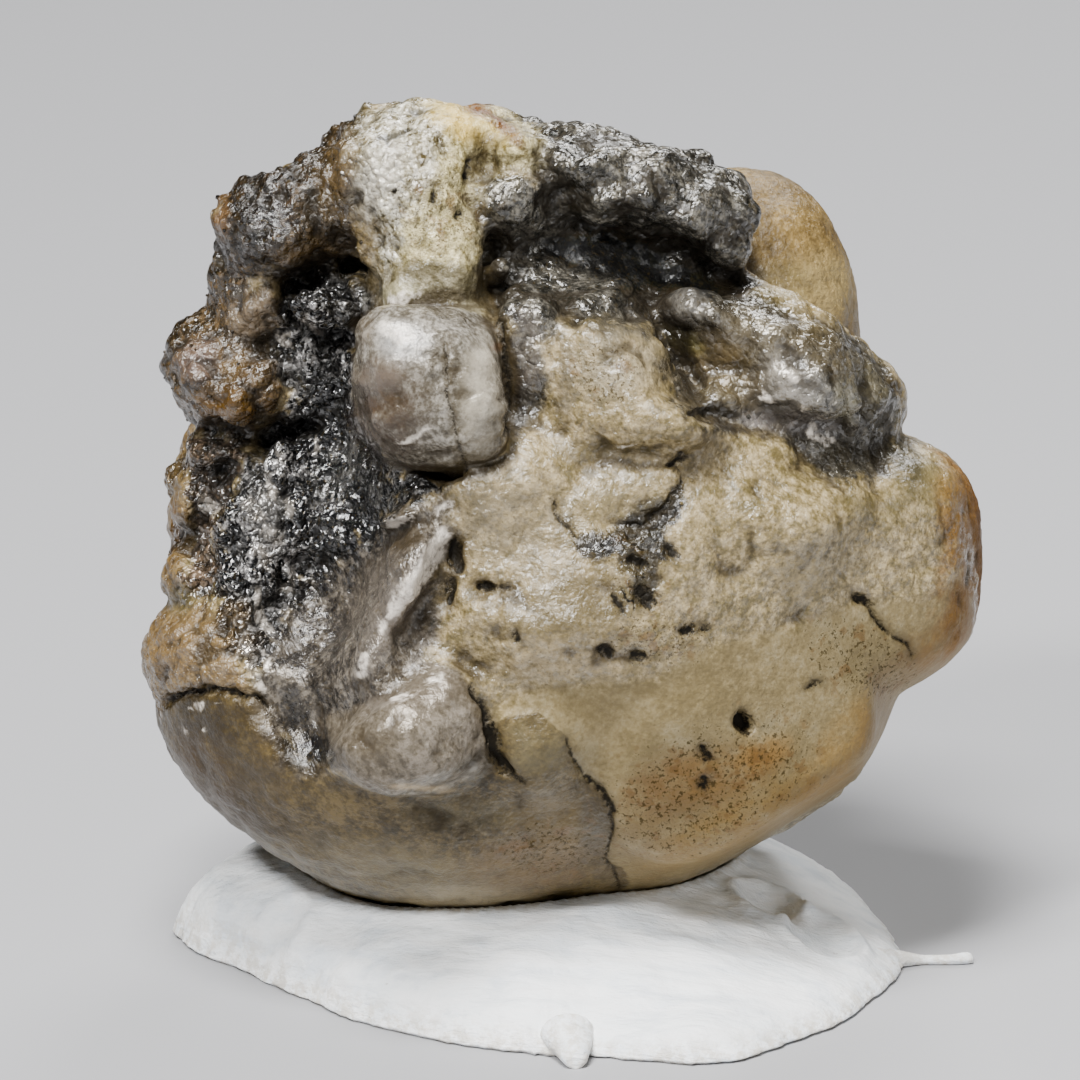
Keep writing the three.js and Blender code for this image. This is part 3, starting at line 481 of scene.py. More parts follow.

# Stains and blooms that lie over the areas, and among them painted highlights, painted shade and painted
# bounce light: middle and half sizes on the front, colour, strength, how far each is rolled clockwise, in
# degrees, and the y that it reaches back to.
stainsAndPaintedLight = rows(("at", "size", "colour", "strength", "roll", "back"), [
    ([2.6, -4.9], [1.1, 0.6], (98, 68, 24), 0.7, -25),
    ([3.7, -4.7], [1.2, 0.6], (106, 76, 26), 0.7, -20),
    ([4.5, -4.3], [0.6, 0.3], (126, 88, 28), 0.6, -25),
    ([2.3, -5.9], [1.2, 0.6], (92, 72, 38), 0.65, -20),
    ([4.2, -5.6], [2.6, 0.5], (114, 86, 32), 0.75, -26),
    ([6.8, -3.6], [0.5, 1], (110, 84, 48), 0.5, 10),
    ([7.9, 1.1], [0.5, 0.8], (114, 102, 62), 0.65, -25),
    ([8, -2.3], [0.7, 0.5], (122, 90, 36), 0.7, 20),
    # rust-orange stain with a painted glow of light through the thin right edge
    ([8.75, 0.2], [0.45, 1.2], (92, 58, 0), 0.9, 0, 2),
    ([8.5, -1.6], [0.4, 0.9], (114, 80, 26), 0.7, 15, 2),
    ([7.5, -2.6], [0.8, 0.4], (118, 92, 54), 0.5, -15),
    ([7.2, 1], [0.25, 0.9], (84, 75, 42), 0.6, 20),
    ([6.4, 0.6], [0.5, 0.25], (92, 82, 50), 0.5, 30),
    ([2.1, 0.15], [0.45, 0.35], (40, 37, 28), 0.9, -30),
    ([2, -0.8], [0.5, 0.6], (88, 78, 48), 0.55),
    ([-1.45, 8.35], [0.85, 0.4], (202, 172, 88), 0.9, 25, 1.5),
    ([-1.05, 8.47], [0.7, 0.16], (92, 52, 0), 1, 28, 2.5),
    ([-0.6, 8.1], [0.4, 0.12], (96, 60, 14), 0.8, 45, 1.5),
    ([-1.5, 8.75], [0.5, 0.07], (112, 70, 18), 0.8, 10, 2.5),
    # painted shadow: the dark line under the cap
    ([-2.3, 5.45], [1.1, 0.18], (70, 61, 32), 0.8, 3),
    ([-1.3, 5.3], [0.3, 0.7], (88, 78, 46), 0.6),
    ([-2.8, 4.95], [0.4, 0.2], (176, 168, 132), 0.7, -5),
    ([-3.5, 6.2], [0.3, 0.7], (104, 86, 52), 0.6),
    ([-3.2, 7.3], [0.4, 0.9], (188, 182, 168), 0.6, 20),
    ([-4.2, 6.6], [0.5, 1.3], (76, 60, 32), 0.55, 5),
    ([-4.6, 5.7], [0.7, 0.35], (86, 66, 34), 0.8),
    ([-3.9, 7.6], [0.3, 0.6], (104, 84, 52), 0.5, 15),
    ([-6.35, 6.6], [0.13, 0.6], (112, 84, 52), 0.7),
    ([-6.2, 2.7], [0.9, 0.4], (84, 58, 10), 0.9, 5),
    ([-5.6, 3.3], [0.6, 0.5], (66, 50, 26), 0.7),
    ([-5.7, 4.4], [0.5, 0.6], (130, 112, 88), 0.6),
    ([-6.8, 3.6], [0.45, 0.45], (116, 96, 84), 0.6),
    ([-6.2, 3.6], [0.3, 0.4], (100, 78, 42), 0.6),
    ([-7.42, 0.9], [0.22, 1.3], (88, 62, 20), 0.9, 0, 3),
    ([-3.25, 2.9], [0.28, 0.8], (92, 74, 58), 0.6),
    ([-3, 3.35], [0.3, 0.14], (126, 92, 62), 0.5, -10),
    ([-3.5, 4.2], [0.2, 0.4], (100, 86, 68), 0.5),
    # painted highlight: the barrel's upper left
    ([-2.75, 3.95], [0.5, 0.4], (164, 163, 160), 0.6),
    ([-1.2, 2.9], [0.4, 1.1], (150, 140, 118), 0.6),
    ([-1.5, 1.5], [0.6, 0.25], (72, 63, 42), 0.7),
    ([-5.6, 6.6], [0.5, 0.8], (18, 15, 10), 0.8),
    ([-0.85, 3.85], [0.14, 0.1], (150, 92, 48), 0.8),
    # painted glints over the silvery crust of the trough
    ([-5.5, 0.6], [0.4, 0.5], (150, 146, 140), 0.4, 10),
    ([-5.4, 0], [0.3, 0.4], (150, 146, 140), 0.4),
    ([-6.1, -2], [0.25, 0.75], (124, 104, 76), 0.5, 12),
    ([-4.7, -1.9], [0.7, 1], (34, 31, 28), 0.85, 5),
    ([-4.8, -4.2], [0.6, 0.45], (28, 24, 16), 1, 45),
    ([6, -4.3], [0.5, 1.3], (128, 98, 42), 0.6, 30),
    ([-3.3, -0.9], [0.35, 0.9], (112, 103, 92), 0.6, 30),
    ([-4.4, 1.9], [0.6, 0.8], (16, 16, 16), 0.6),
    ([-2.9, -1.4], [0.35, 1.4], (134, 124, 112), 0.6, 30),
    # painted highlight: near white along the ridge's top
    ([-2.3, -0.45], [0.13, 0.7], (240, 232, 220), 0.95, 30),
    ([-3, 2.6], [0.75, 1], (64, 50, 36), 0.8),
    ([-3.1, 3.3], [0.6, 0.3], (98, 88, 78), 0.6, -10),
    ([1.5, 0.75], [1.1, 0.55], (116, 104, 74), 0.5, -18),
    ([3.6, 3.2], [0.9, 0.7], (116, 102, 70), 0.6, 20),
    # painted glints: a pale patch on the shoulder
    ([4.9, 3], [0.8, 0.6], (172, 166, 156), 0.7),
    ([6.1, 2.8], [0.2, 0.8], (128, 122, 100), 0.65),
    ([4.3, 4.2], [0.9, 0.4], (120, 108, 84), 0.5, 25),
    ([5, 2.35], [1.2, 0.2], (150, 142, 138), 0.7, 5),
    ([-1.15, 3], [0.4, 1.1], (176, 168, 152), 0.6),
    ([-0.3, 3.7], [0.4, 0.9], (112, 104, 96), 0.6),
    # painted shade: the front under and left of the eye darkened against the light from above
    ([0.4, -1.2], [1.4, 1], (84, 72, 44), 0.65),
    ([-0.6, 0.4], [1.2, 0.9], (98, 89, 70), 0.7),
    ([0.6, -1.4], [1.4, 0.6], (84, 72, 42), 0.65),
    ([0.5, -2.4], [1.3, 0.4], (150, 132, 100), 0.5),
    # painted light: lightens the shaded right side of a lump
    ([5.2, -0.7], [0.6, 0.5], (142, 126, 90), 0.6),
    ([5.8, 3.7], [1.2, 0.4], (92, 81, 58), 0.7, 32),
    ([6.7, 2.9], [0.35, 0.9], (104, 97, 76), 0.7, -20),
    ([6.3, 1.7], [0.8, 0.4], (66, 60, 46), 0.7, 10),
    ([4.1, 3.2], [0.4, 0.7], (108, 92, 58), 0.7, -10),
    ([4.9, 3.4], [0.5, 0.4], (150, 142, 128), 0.6, 20),
    ([1.6, 4.25], [1, 0.25], (72, 66, 52), 0.75, 5),
    ([0.5, 3.3], [0.25, 0.8], (84, 76, 60), 0.7),
    ([0.2, -5.7], [0.9, 0.9], (84, 66, 24), 0.8),
    ([-6.3, -5], [1.3, 1.5], (58, 43, 14), 0.6, -20),
    # rust-orange stain with a painted glow of light through the thin right edge
    ([8.3, 0.5], [0.35, 1.1], (112, 78, 18), 0.75, -8, 2),
    ([-6.7, -2], [1, 0.9], (118, 97, 64), 0.5),
    # painted bounce light: the dome's bottom lighter, as if lit from the putty
    ([-2.5, -6.6], [2.4, 0.5], (120, 107, 78), 0.6, 12),
    ([-1.5, -7.15], [1.3, 0.25], (144, 130, 102), 0.7),
    ([-6.2, -4.6], [1.2, 0.7], (56, 46, 28), 0.6, 30),
    ([5.7, 5], [0.7, 0.8], (172, 150, 100), 0.65, 0, 9),
    # painted shade: olive under the eye's lid
    ([0.9, 1.75], [0.9, 0.22], (104, 92, 60), 0.6, -5),
    ([-2.2, -3], [0.7, 0.4], (100, 90, 77), 0.6),
    # painted highlight: a thin pale lip under the pebble
    ([-2.4, -4.95], [0.7, 0.07], (190, 166, 128), 0.6, 4),
    ([-3.2, -3.25], [0.3, 0.15], (160, 150, 138), 0.5, -10),
    ([-1.3, -4.5], [0.4, 0.3], (84, 76, 62), 0.6, -35),
    ([-3.4, -4.1], [0.5, 0.4], (94, 84, 68), 0.5),
    ([-1.6, -5.5], [1.2, 0.35], (88, 78, 48), 0.5),
    ([-4.5, -4.1], [0.75, 0.3], (14, 14, 16), 0.8, 35),
    ([-4.9, -3.4], [0.5, 0.25], (24, 23, 22), 0.7, 50),
    ([1.1, -5.6], [0.35, 0.7], (46, 36, 16), 0.75),
    ([-6.6, -4.8], [0.5, 1.3], (58, 41, 12), 0.75, -30),
    ([-0.2, -6.5], [1.5, 0.6], (92, 70, 34), 0.65, -5),
    # painted shade: the dome darker at its upper left, under the crack
    ([-6.5, -3.6], [1.2, 0.45], (40, 32, 19), 0.8, 8),
    ([-0.1, -4.1], [0.8, 0.7], (96, 87, 62), 0.7),
    ([3.4, 3.7], [0.6, 0.5], (142, 122, 84), 0.65),
    ([2.9, 4], [0.5, 0.2], (104, 98, 48), 0.7, 30),
    ([7.35, 1.5], [0.35, 0.7], (52, 48, 32), 0.85, -20),
    ([2.35, 3.9], [0.14, 0.5], (106, 93, 62), 0.6, -20),
    ([2.9, 4.6], [0.5, 0.4], (132, 126, 116), 0.5),
    ([1.5, 3.5], [0.8, 0.7], (160, 150, 128), 0.5),
    # painted shade: near black in the hollow under the crest
    ([1.4, 5.6], [1.6, 0.4], (18, 17, 16), 0.8, 6),
    ([3.2, 5.2], [0.9, 0.3], (18, 17, 15), 0.7, 12),
    ([-7.35, 1.3], [0.25, 0.6], (92, 78, 48), 0.6, 0, 2),
    ([-7.2, -1.2], [0.4, 0.3], (84, 80, 52), 0.6, 0, 2),
    ([-7.4, -2.2], [0.5, 0.6], (112, 88, 54), 0.5, 0, 2),
    ([5.5, 8], [0.9, 0.3], (124, 92, 56), 0.6, 20, 9),
    ([4.9, 5.1], [0.6, 0.5], (134, 118, 72), 0.5, 0, 9),
])

# Where fine dark or rusty specks gather: middle, half sizes and clockwise roll on the front.
speckled = rows(("at", "size", "roll"), [
    ([3.4, -4.9], [2.6, 1.3], -25),
    ([0.2, -6.2], [1.3, 0.6], 0),
    ([6.4, -2.4], [1.3, 0.8], 25),
    ([2.4, -2], [1.2, 0.6], -10),
    ([1.9, -0.8], [0.7, 0.9], 0),
    ([-2.1, 6.7], [1.1, 1], 0),
    ([1.3, 3.3], [0.8, 0.8], 0),
])

# Cracks, pits and worn gaps: the way each runs, x and z seen from the front, with its half width and
# its depth in millimetres.
marks = rows(("path", "width", "depth"), [
    ([[0.3, 0.8], [0.38, 0.4], [0.75, 0.05]], 0.02, 0.08),
    ([[1.75, 0.1], [1.95, 0.08]], 0.05, 0.08),
    ([[2.2, 0.45], [2.45, 0.65]], 0.05, 0.08),
    ([[2.45, 0.65], [2.72, 0.95], [2.85, 1.25]], 0.015, 0.06),
    ([[2.6, 1.52], [2.85, 1.66]], 0.07, 0.1),
    ([[1.85, -0.4], [2.05, -0.5]], 0.12, 0.12),
    ([[2, -1], [2.2, -1.2]], 0.13, 0.12),
    ([[1.45, -1.1], [1.65, -1.4]], 0.06, 0.08),
    ([[2.6, -0.15], [2.7, -0.3]], 0.08, 0.08),
    ([[2.9, -1.85], [3, -1.8]], 0.09, 0.12),
    ([[3.3, -1.8], [3.32, -1.78]], 0.05, 0.08),
    ([[1.3, -2.2], [1.4, -2.3]], 0.07, 0.1),
    ([[1.85, -2.3], [2.1, -2.35]], 0.06, 0.1),
    ([[-0.5, -1.9], [-0.48, -2]], 0.05, 0.08),
    ([[4.05, -3.6], [4.15, -3.75]], 0.14, 0.3),
    ([[3.25, -4.2], [3.35, -4.35]], 0.08, 0.1),
    ([[3.3, -4.8], [3.25, -4.95]], 0.06, 0.08),
    ([[5.3, -2.95], [5.45, -2.85], [5.65, -2.88]], 0.025, 0.04),
    ([[6.32, -1.12], [6.5, -1.2]], 0.09, 0.12),
    ([[6.5, -1.2], [6.75, -1.6], [6.95, -1.85]], 0.03, 0.12),
    ([[7.1, -1.95], [7.35, -2.05], [7.48, -2.35]], 0.015, 0.08),
    ([[-1.7, -0.1], [-1.68, -0.5]], 0.1, 0.1),
    ([[-1.8, -0.85], [-1.85, -1.2]], 0.07, 0.1),
    ([[-1.2, -0.95], [-1.05, -0.98]], 0.07, 0.1),
    ([[-1, -0.95], [-0.6, -0.9]], 0.03, 0.06),
    ([[-2.15, 6.8], [-2.14, 7]], 0.05, 0.08),
    ([[-3.9, 5.42], [-3.65, 5.4]], 0.1, 0.3),
    ([[-2.9, 6.93], [-2.88, 6.97]], 0.05, 0.06),
    ([[-1.45, 7.3], [-1.4, 7.6]], 0.05, 0.08),
    ([[-1.6, 6.45], [-1.58, 6.55]], 0.04, 0.06),
    ([[-7.5, -3.25], [-7.25, -3.12], [-6.85, -3.02], [-6.4, -3],
      [-6, -3.12], [-5.6, -3.15], [-5.4, -3.35]], 0.035, 0.22),
    ([[-1.4, -2.9], [-1.1, -3.35], [-0.95, -3.8]], 0.05, 0.12),
    ([[-0.95, -3.8], [-0.85, -4.3], [-0.7, -4.6]], 0.1, 0.15),
    ([[-0.7, -4.6], [-0.35, -4.85]], 0.03, 0.06),
    ([[-1.87, 3.9], [-1.85, 3], [-1.75, 2.5], [-1.65, 2], [-1.52, 1.6], [-1.5, 1.4]], 0.004, 0.07),
    ([[-0.82, 4.4], [-0.66, 3.5], [-0.6, 2.8], [-0.68, 2.1]], 0.03, 0.1),
    ([[0.5, -3.95], [0.85, -4.7]], 0.015, 0.03),
    ([[0.95, -4.75], [1.25, -5.05], [1.43, -5.4]], 0.05, 0.06),
    ([[1.43, -5.4], [1.4, -6.05], [1.3, -6.35]], 0.02, 0.06),
    ([[1.3, -6.35], [1.5, -6.65], [1.55, -6.9]], 0.01, 0.06),
])

# Worn edges, silvery smears and painted highlights on lit ridges and lumps, each a path on the front with its
# half width.
wornEdgesAndGleams = rows(("path", "width"), [
    ([[-1.95, 0.05], [-2.2, -0.4], [-2.5, -0.85], [-2.85, -1.3]], 0.16),
    ([[-2.85, -1.3], [-3.2, -1.8]], 0.07),
    ([[-5.45, 1.25], [-5.35, 0.9]], 0.1),
    ([[-5.05, 0.75], [-4.95, 0.5]], 0.09),
    ([[-5.6, -0.2], [-5.45, -0.5]], 0.1),
    ([[-4.95, -0.6], [-5, -0.95]], 0.07),
    ([[-5.3, 1.75], [-5.15, 1.6]], 0.06),
    ([[-4.5, 2.1], [-4.45, 1.8]], 0.05),
    ([[4.4, 2.9], [4.6, 2.75]], 0.08),
    ([[4.95, 3.3], [5.1, 3.2]], 0.07),
    ([[5.3, 2.75], [5.25, 2.5]], 0.05),
    ([[-2.98, 0.34], [-2.6, 0.42]], 0.08),
    ([[-2.05, 0.58], [-1.75, 0.78]], 0.07),
    ([[-1.45, 1], [-1.4, 1.02]], 0.06),
    ([[-5.8, 0.75], [-5.62, 0.5]], 0.12),
    ([[-5.45, 0.15], [-5.25, 0.05]], 0.13),
    ([[-6.75, 0.75], [-6.6, 0.6]], 0.14),
    ([[-5.5, -1.4], [-5.4, -1.75]], 0.1),
    ([[-6.1, -2.3], [-5.85, -2]], 0.07),
    ([[-4.7, 4.45], [-4.45, 4.2]], 0.1),
    ([[-5.2, 4.05], [-4.95, 3.9]], 0.08),
    ([[-5.95, -1.9], [-5.75, -2.5], [-5.55, -3]], 0.1),
    ([[-5.5, -2.2], [-5.45, -2.7]], 0.06),
    ([[-5.65, -1], [-5.6, -1.5]], 0.08),
    ([[-7, -3.35], [-6.75, -3.3]], 0.05),
    ([[-6.5, -3.25], [-6.35, -3.3]], 0.04),
    ([[-7.15, -3.75], [-7.05, -3.85]], 0.03),
    ([[-6.75, -3.8], [-6.6, -3.75]], 0.02),
    ([[-3.6, -2.7], [-3.45, -2.3]], 0.07),
    ([[-3, 4.2], [-2.7, 4.1]], 0.16),
    ([[-2.85, 1.95], [-2.5, 2.02], [-2.25, 2.22]], 0.06),
    ([[-2.95, 4.8], [-2.5, 4.9]], 0.1),
    ([[1.5, 1.8], [1.9, 1.9]], 0.03),
    ([[5.5, 2.15], [5.75, 2]], 0.1),
    ([[-2.2, -2.75], [-1.95, -2.7]], 0.06),
    ([[-2.9, -3.2], [-2.6, -3.1]], 0.07),
])


# How far off, in millimetres, a point counts that nothing lies near.
farOff = 9.0


def insideBy(outline, x, z):
    # how far inside an outline each point lies, negative outside it
    nearest = np.full(len(x), farOff)
    within = np.zeros(len(x), bool)
    for (ax, az), (bx, bz) in zip(outline, outline[1:] + outline[:1]):
        ex, ez = bx - ax, bz - az
        t = np.clip(((x - ax) * ex + (z - az) * ez) / (ex * ex + ez * ez), 0, 1)
        nearest = np.minimum(nearest, np.hypot(x - ax - t * ex, z - az - t * ez))
        if az != bz:
            within ^= ((az > z) != (bz > z)) & (x < ax + ex * (z - az) / ez)
    return np.where(within, nearest, -nearest)


def besidePath(path, x, z):
    # how far each point lies from a path, how far that is to one side of it, and how far past its ends
    nearest, side, past = np.full((3, len(x)), farOff)
    for number, ((ax, az), (bx, bz)) in enumerate(zip(path, path[1:])):
        ex, ez = bx - ax, bz - az
        length = math.hypot(ex, ez)
        along = ((x - ax) * ex + (z - az) * ez) / length
        across = ((z - az) * ex - (x - ax) * ez) / length
        over = np.maximum(np.maximum(-along, along - length), 0)
        away = np.hypot(across, over)
        atEnd = ((along < 0) & (number == 0)) | ((along > length) & (number == len(path) - 2))
        closer = away < nearest
        side = np.where(closer, np.where(atEnd, across, np.sign(across) * away), side)
        past = np.where(closer, np.where(atEnd, over, 0), past)
        nearest = np.minimum(nearest, away)
    return nearest, side, past


def patchDepth(patch, points):
    x, y, z = points.T
    a, b, c = patch["run"]
    swing = np.sin(a * x + b * z + patch["start"]) * np.cos(c * y - a * z)
    swing += 0.5 * np.sin(2.3 * b * y + 1.9 * c * x + 1.3 * z)
    return (swing - patch["level"]) * 0.9


def smooth(value):
    value = np.clip(value, 0, 1)
    return value * value * (3 - 2 * value)


def seenFromFront(points):
    closer = view["distance"] / (view["distance"] + points[:, 1])
    return points[:, 0] * closer, points[:, 2] * closer


def reachOf(spot, x, z):
    # 1 at the edge of a round spot, 0 in its middle
    roll = math.radians(spot.get("roll", 0))
    c, s = math.cos(roll), math.sin(roll)
    dx, dz = x - spot["at"][0], z - spot["at"][1]
    return np.hypot((dx * c - dz * s) / spot["size"][0], (dx * s + dz * c) / spot["size"][1])


def paintAreas(points):
    # how far inside each area every point is with the heights of the relief there, and the colour that
    # loose grains have there
    x, z = seenFromFront(points)
    far, up = points[:, 1], points[:, 2]
    swing = 0.5 * np.sin(0.9 * up + 0.5 * points[:, 0]) + 0.3 * np.sin(2.1 * up - 1.3 * x)
    drift = 0.8 * smooth((far + 2.5) / 3)
    x = x + drift * np.sin(1.3 * far + 0.8 * z)
    z = z + drift * np.sin(1.1 * far - 0.9 * x + 2)
    paint = {}
    blended = {name: np.full(len(x), ground.get(name, 0.0)) for name in (*patterns, "glint", "crust")}
    grainTone = np.tile(tone(*ground["tones"][1]), (len(x), 1))
    for area in areas:
        if "patch" in area:
            depth = patchDepth(area["patch"], points)
        elif "form" in area:
            depth = -distanceTo(area["form"], *points.T)
        else:
            depth = insideBy(area["outline"], x, z)
        if "front" in area:
            depth = np.minimum(depth, far - area["front"])
        else:
            depth = np.minimum(depth, area.get("back", 1.4) + swing - far)
        paint[area["name"]] = np.clip(depth, -1, 1)
        share = smooth(depth / 0.3 + 0.5)
        for name in blended:
            blended[name] += (area.get(name, 0.0) - blended[name]) * share
        grainTone += (np.array(tone(*area["tones"][1])) - grainTone) * share[:, None]
    return {**paint, **blended}, grainTone


def paintStainsAndLight(points):
    x, z = seenFromFront(points)
    colour = np.zeros((len(x), 3))
    cover = np.zeros(len(x))
    for stainAndLight in stainsAndPaintedLight:
        share = stainAndLight["strength"] * smooth(1.4 - reachOf(stainAndLight, x, z))
        share = share * smooth((stainAndLight.get("back", 0.5) - points[:, 1]) / 1.2 + 0.5)
        colour = colour * (1 - share)[:, None] + share[:, None] * tone(*stainAndLight["colour"])[:3]
        cover = share + cover * (1 - share)
    return np.column_stack([colour / np.maximum(cover, 1e-6)[:, None], cover])


def gatherSpecks(points):
    x, z = seenFromFront(points)
    density = np.zeros(len(x))
    for spot in speckled:
        density = np.maximum(density, smooth(1.5 - reachOf(spot, x, z)))
    return density * (points[:, 1] < 1)


# the worn edges and the painted highlights along the paths, on the front only
def wearAndGleamAt(points):
    x, z = seenFromFront(points)
    gleamAndWear = np.zeros(len(x))
    for litAndWorn in wornEdgesAndGleams:
        gleamAndWear = np.maximum(gleamAndWear, smooth(1.5 - besidePath(litAndWorn["path"], x, z)[0] / litAndWorn["width"] * 0.75))
    return gleamAndWear * (points[:, 1] < 0.5)


def cutMarks(points, outward):
    # sinks the cracks and pits into the skin, and keeps how each point lies by the nearest of them: how
    # far to one side, how far past its end, and its half width
    x, z = seenFromFront(points)
    ripple = 0.04 * np.sin(9 * x + 4 * z) * np.sin(8 * z - 5 * x + 1.3)
    nearest = np.full(len(x), farOff)
    lie = np.tile([0.0, farOff, 0.0], (len(x), 1))
    sink = np.zeros(len(x))
    for mark in marks:
        away, side, past = besidePath(mark["path"], x + ripple, z - ripple)
        off = away - mark["width"]
        closer = (off < nearest) & (points[:, 1] < 0)
        past = np.maximum(past, 4 * (off - 0.15))
        lie[closer] = np.column_stack([side, past, np.full(len(x), mark["width"])])[closer]
        nearest = np.where(closer, off, nearest)
        sink = np.maximum(sink, mark["depth"] * smooth((0.08 - off) / 0.12) * (points[:, 1] < 0))
    return points - outward * sink[:, None], lie


def newMesh(name, points, sides):
    mesh = bpy.data.meshes.new(name)
    mesh.from_pydata(points.tolist(), [], sides)
    mesh.shade_smooth()
    mesh.update()
    made = bpy.data.objects.new(name, mesh)
    scene.collection.objects.link(made)
    return made


attributeKinds = {1: ("FLOAT", "value"), 3: ("FLOAT_VECTOR", "vector"), 4: ("FLOAT_COLOR", "color")}


def giveAttribute(piece, name, values):
    values = np.asarray(values, np.float32)
    kind, field = attributeKinds[values[0].size]
    piece.data.attributes.new(name, kind, "POINT").data.foreach_set(field, values.ravel())


def feed(node, inputs):
    # links a socket to each input named, or sets the input's own value
    for key, value in inputs.items():
        if isinstance(value, bpy.types.NodeSocket):
            node.id_data.links.new(value, node.inputs[key])
        else:
            node.inputs[key].default_value = value


def addNode(tree, kind, inputs=None, **settings):
    made = tree.nodes.new(kind)
    for name, value in settings.items():
        setattr(made, name, value)
    feed(made, inputs or {})
    return made


def follow(kind, inputs, **settings):
    # a node in the same tree as what it is linked to
    sockets = [value for value in inputs.values() if isinstance(value, bpy.types.NodeSocket)]
    return addNode(sockets[0].id_data, kind, inputs, **settings)


def maths(operation, a, b=0.0):
    return follow("ShaderNodeMath", {0: a, 1: b}, operation=operation).outputs[0]


def times(a, b):
    return maths("MULTIPLY", a, b)


def plus(a, b):
    return maths("ADD", a, b)


def minus(a, b):
    return maths("SUBTRACT", a, b)


def higher(a, b):
    return maths("MAXIMUM", a, b)


def vectorMaths(operation, a, b):
    key = "Scale" if operation == "SCALE" else 1
    return follow("ShaderNodeVectorMath", {0: a, key: b}, operation=operation).outputs[0]


def mixValue(share, a, b):
    return follow("ShaderNodeMix", {0: share, 2: a, 3: b}, data_type="FLOAT").outputs[0]


def mixColour(share, a, b, blend="MIX"):
    return follow("ShaderNodeMix", {0: share, 6: a, 7: b}, data_type="RGBA", blend_type=blend).outputs[2]


def mapRange(value, low, high, toLow=0.0, toHigh=1.0):
    ends = {"Value": value, "From Min": low, "From Max": high, "To Min": toLow, "To Max": toHigh}
    return follow("ShaderNodeMapRange", ends, interpolation_type="SMOOTHSTEP").outputs[0]


def noise(place, scale, detail=3.0, rough=0.5):
    inputs = {"Vector": place, "Scale": scale, "Detail": detail, "Roughness": rough}
    return follow("ShaderNodeTexNoise", inputs).outputs[0]


def aboutZero(value):
    return minus(value, 0.5)


def eachWay(colour):
    # a random colour as a random direction
    return vectorMaths("SUBTRACT", colour, (0.5, 0.5, 0.5))


def cells(place, scale):
    return follow("ShaderNodeTexVoronoi", {"Vector": place, "Scale": scale}).outputs


def bubbles(place, scale):
    # round-topped lumps with sharp valleys between them
    bend = follow("ShaderNodeTexNoise", {"Vector": place, "Scale": scale * 0.8, "Detail": 1.0})
    bent = vectorMaths("SCALE", eachWay(bend.outputs[1]), 1.1 / scale)
    far = cells(vectorMaths("ADD", place, bent), scale)["Distance"]
    return minus(0.3, times(far, far))


def drawnOut(place, angle, stretch, detail=2.0, rough=0.5):
    # noise that runs one way, with its place turned about the crystal's y and then scaled
    spun = follow("ShaderNodeVectorRotate", {"Vector": place, "Angle": math.radians(angle)},
                  rotation_type="Y_AXIS")
    return noise(vectorMaths("MULTIPLY", spun.outputs[0], stretch), 1.0, detail, rough)


def tone(red, green, blue):
    # a colour on the usual 0 to 255 scale, as the linear values that a shader takes
    parts = [c / 255 for c in (red, green, blue)]
    return (*[c / 12.92 if c < 0.04045 else ((c + 0.055) / 1.055) ** 2.4 for c in parts], 1.0)


def ramp(value, stops):
    made = follow("ShaderNodeValToRGB", {0: value})
    elements = made.color_ramp.elements
    for number, (position, colour) in enumerate(stops):
        element = elements[number] if number < 2 else elements.new(position)
        element.position = position
        element.color = tone(*colour)
    return made.outputs[0]


def bumpFrom(height):
    # a height in millimetres as a bump
    return follow("ShaderNodeBump", {"Height": height, "Distance": 0.001, "Strength": 1.0}).outputs[0]


def upright(place):
    # a place in metres, turned into the crystal's own frame in millimetres
    spun = follow("ShaderNodeVectorRotate",
                  {"Vector": vectorMaths("SCALE", place, 1000.0), "Angle": math.radians(stand["lean"])},
                  rotation_type="X_AXIS")
    return spun.outputs[0]


# The small relief that the mesh carries, in a place given in millimetres: how high each pattern stands,
# between about -0.5 and 0.5.
patterns = {
    "lumps": lambda place: bubbles(place, 1.15),
    "knobs": lambda place: bubbles(place, 2.5),
    "grains": lambda place: bubbles(place, 5.5),
    "ribs": lambda place: aboutZero(drawnOut(place, 8, (2.6, 0.8, 0.6))),
    "streaks": lambda place: aboutZero(drawnOut(place, 24, (3.4, 1.6, 0.5))),
    "wrinkles": lambda place: aboutZero(drawnOut(place, 12, (0.6, 1.2, 2.4), 3.0)),
}


def newTree(name, kinds):
    # an empty tree with an input of each kind, and the sockets that they come in by
    tree = bpy.data.node_groups.new(name, "GeometryNodeTree")
    for label, kind in {"Geometry": "Geometry", **kinds, "Material": "Material"}.items():
        tree.interface.new_socket(label, in_out="INPUT", socket_type="NodeSocket" + kind)
    tree.interface.new_socket("Geometry", in_out="OUTPUT", socket_type="NodeSocketGeometry")
    return tree, addNode(tree, "NodeGroupInput").outputs


def closeTree(geometry, material):
    solid = follow("GeometryNodeRealizeInstances", {0: geometry})
    dressed = follow("GeometryNodeSetMaterial", {"Geometry": solid.outputs[0], "Material": material})
    follow("NodeGroupOutput", {0: dressed.outputs[0]})


def read(tree, name):
    return addNode(tree, "GeometryNodeInputNamedAttribute", {"Name": name}, data_type="FLOAT").outputs[0]


def store(geometry, name, value, domain):
    inputs = {"Geometry": geometry, "Name": name, "Value": value}
    return follow("GeometryNodeStoreNamedAttribute", inputs, data_type="FLOAT", domain=domain).outputs[0]


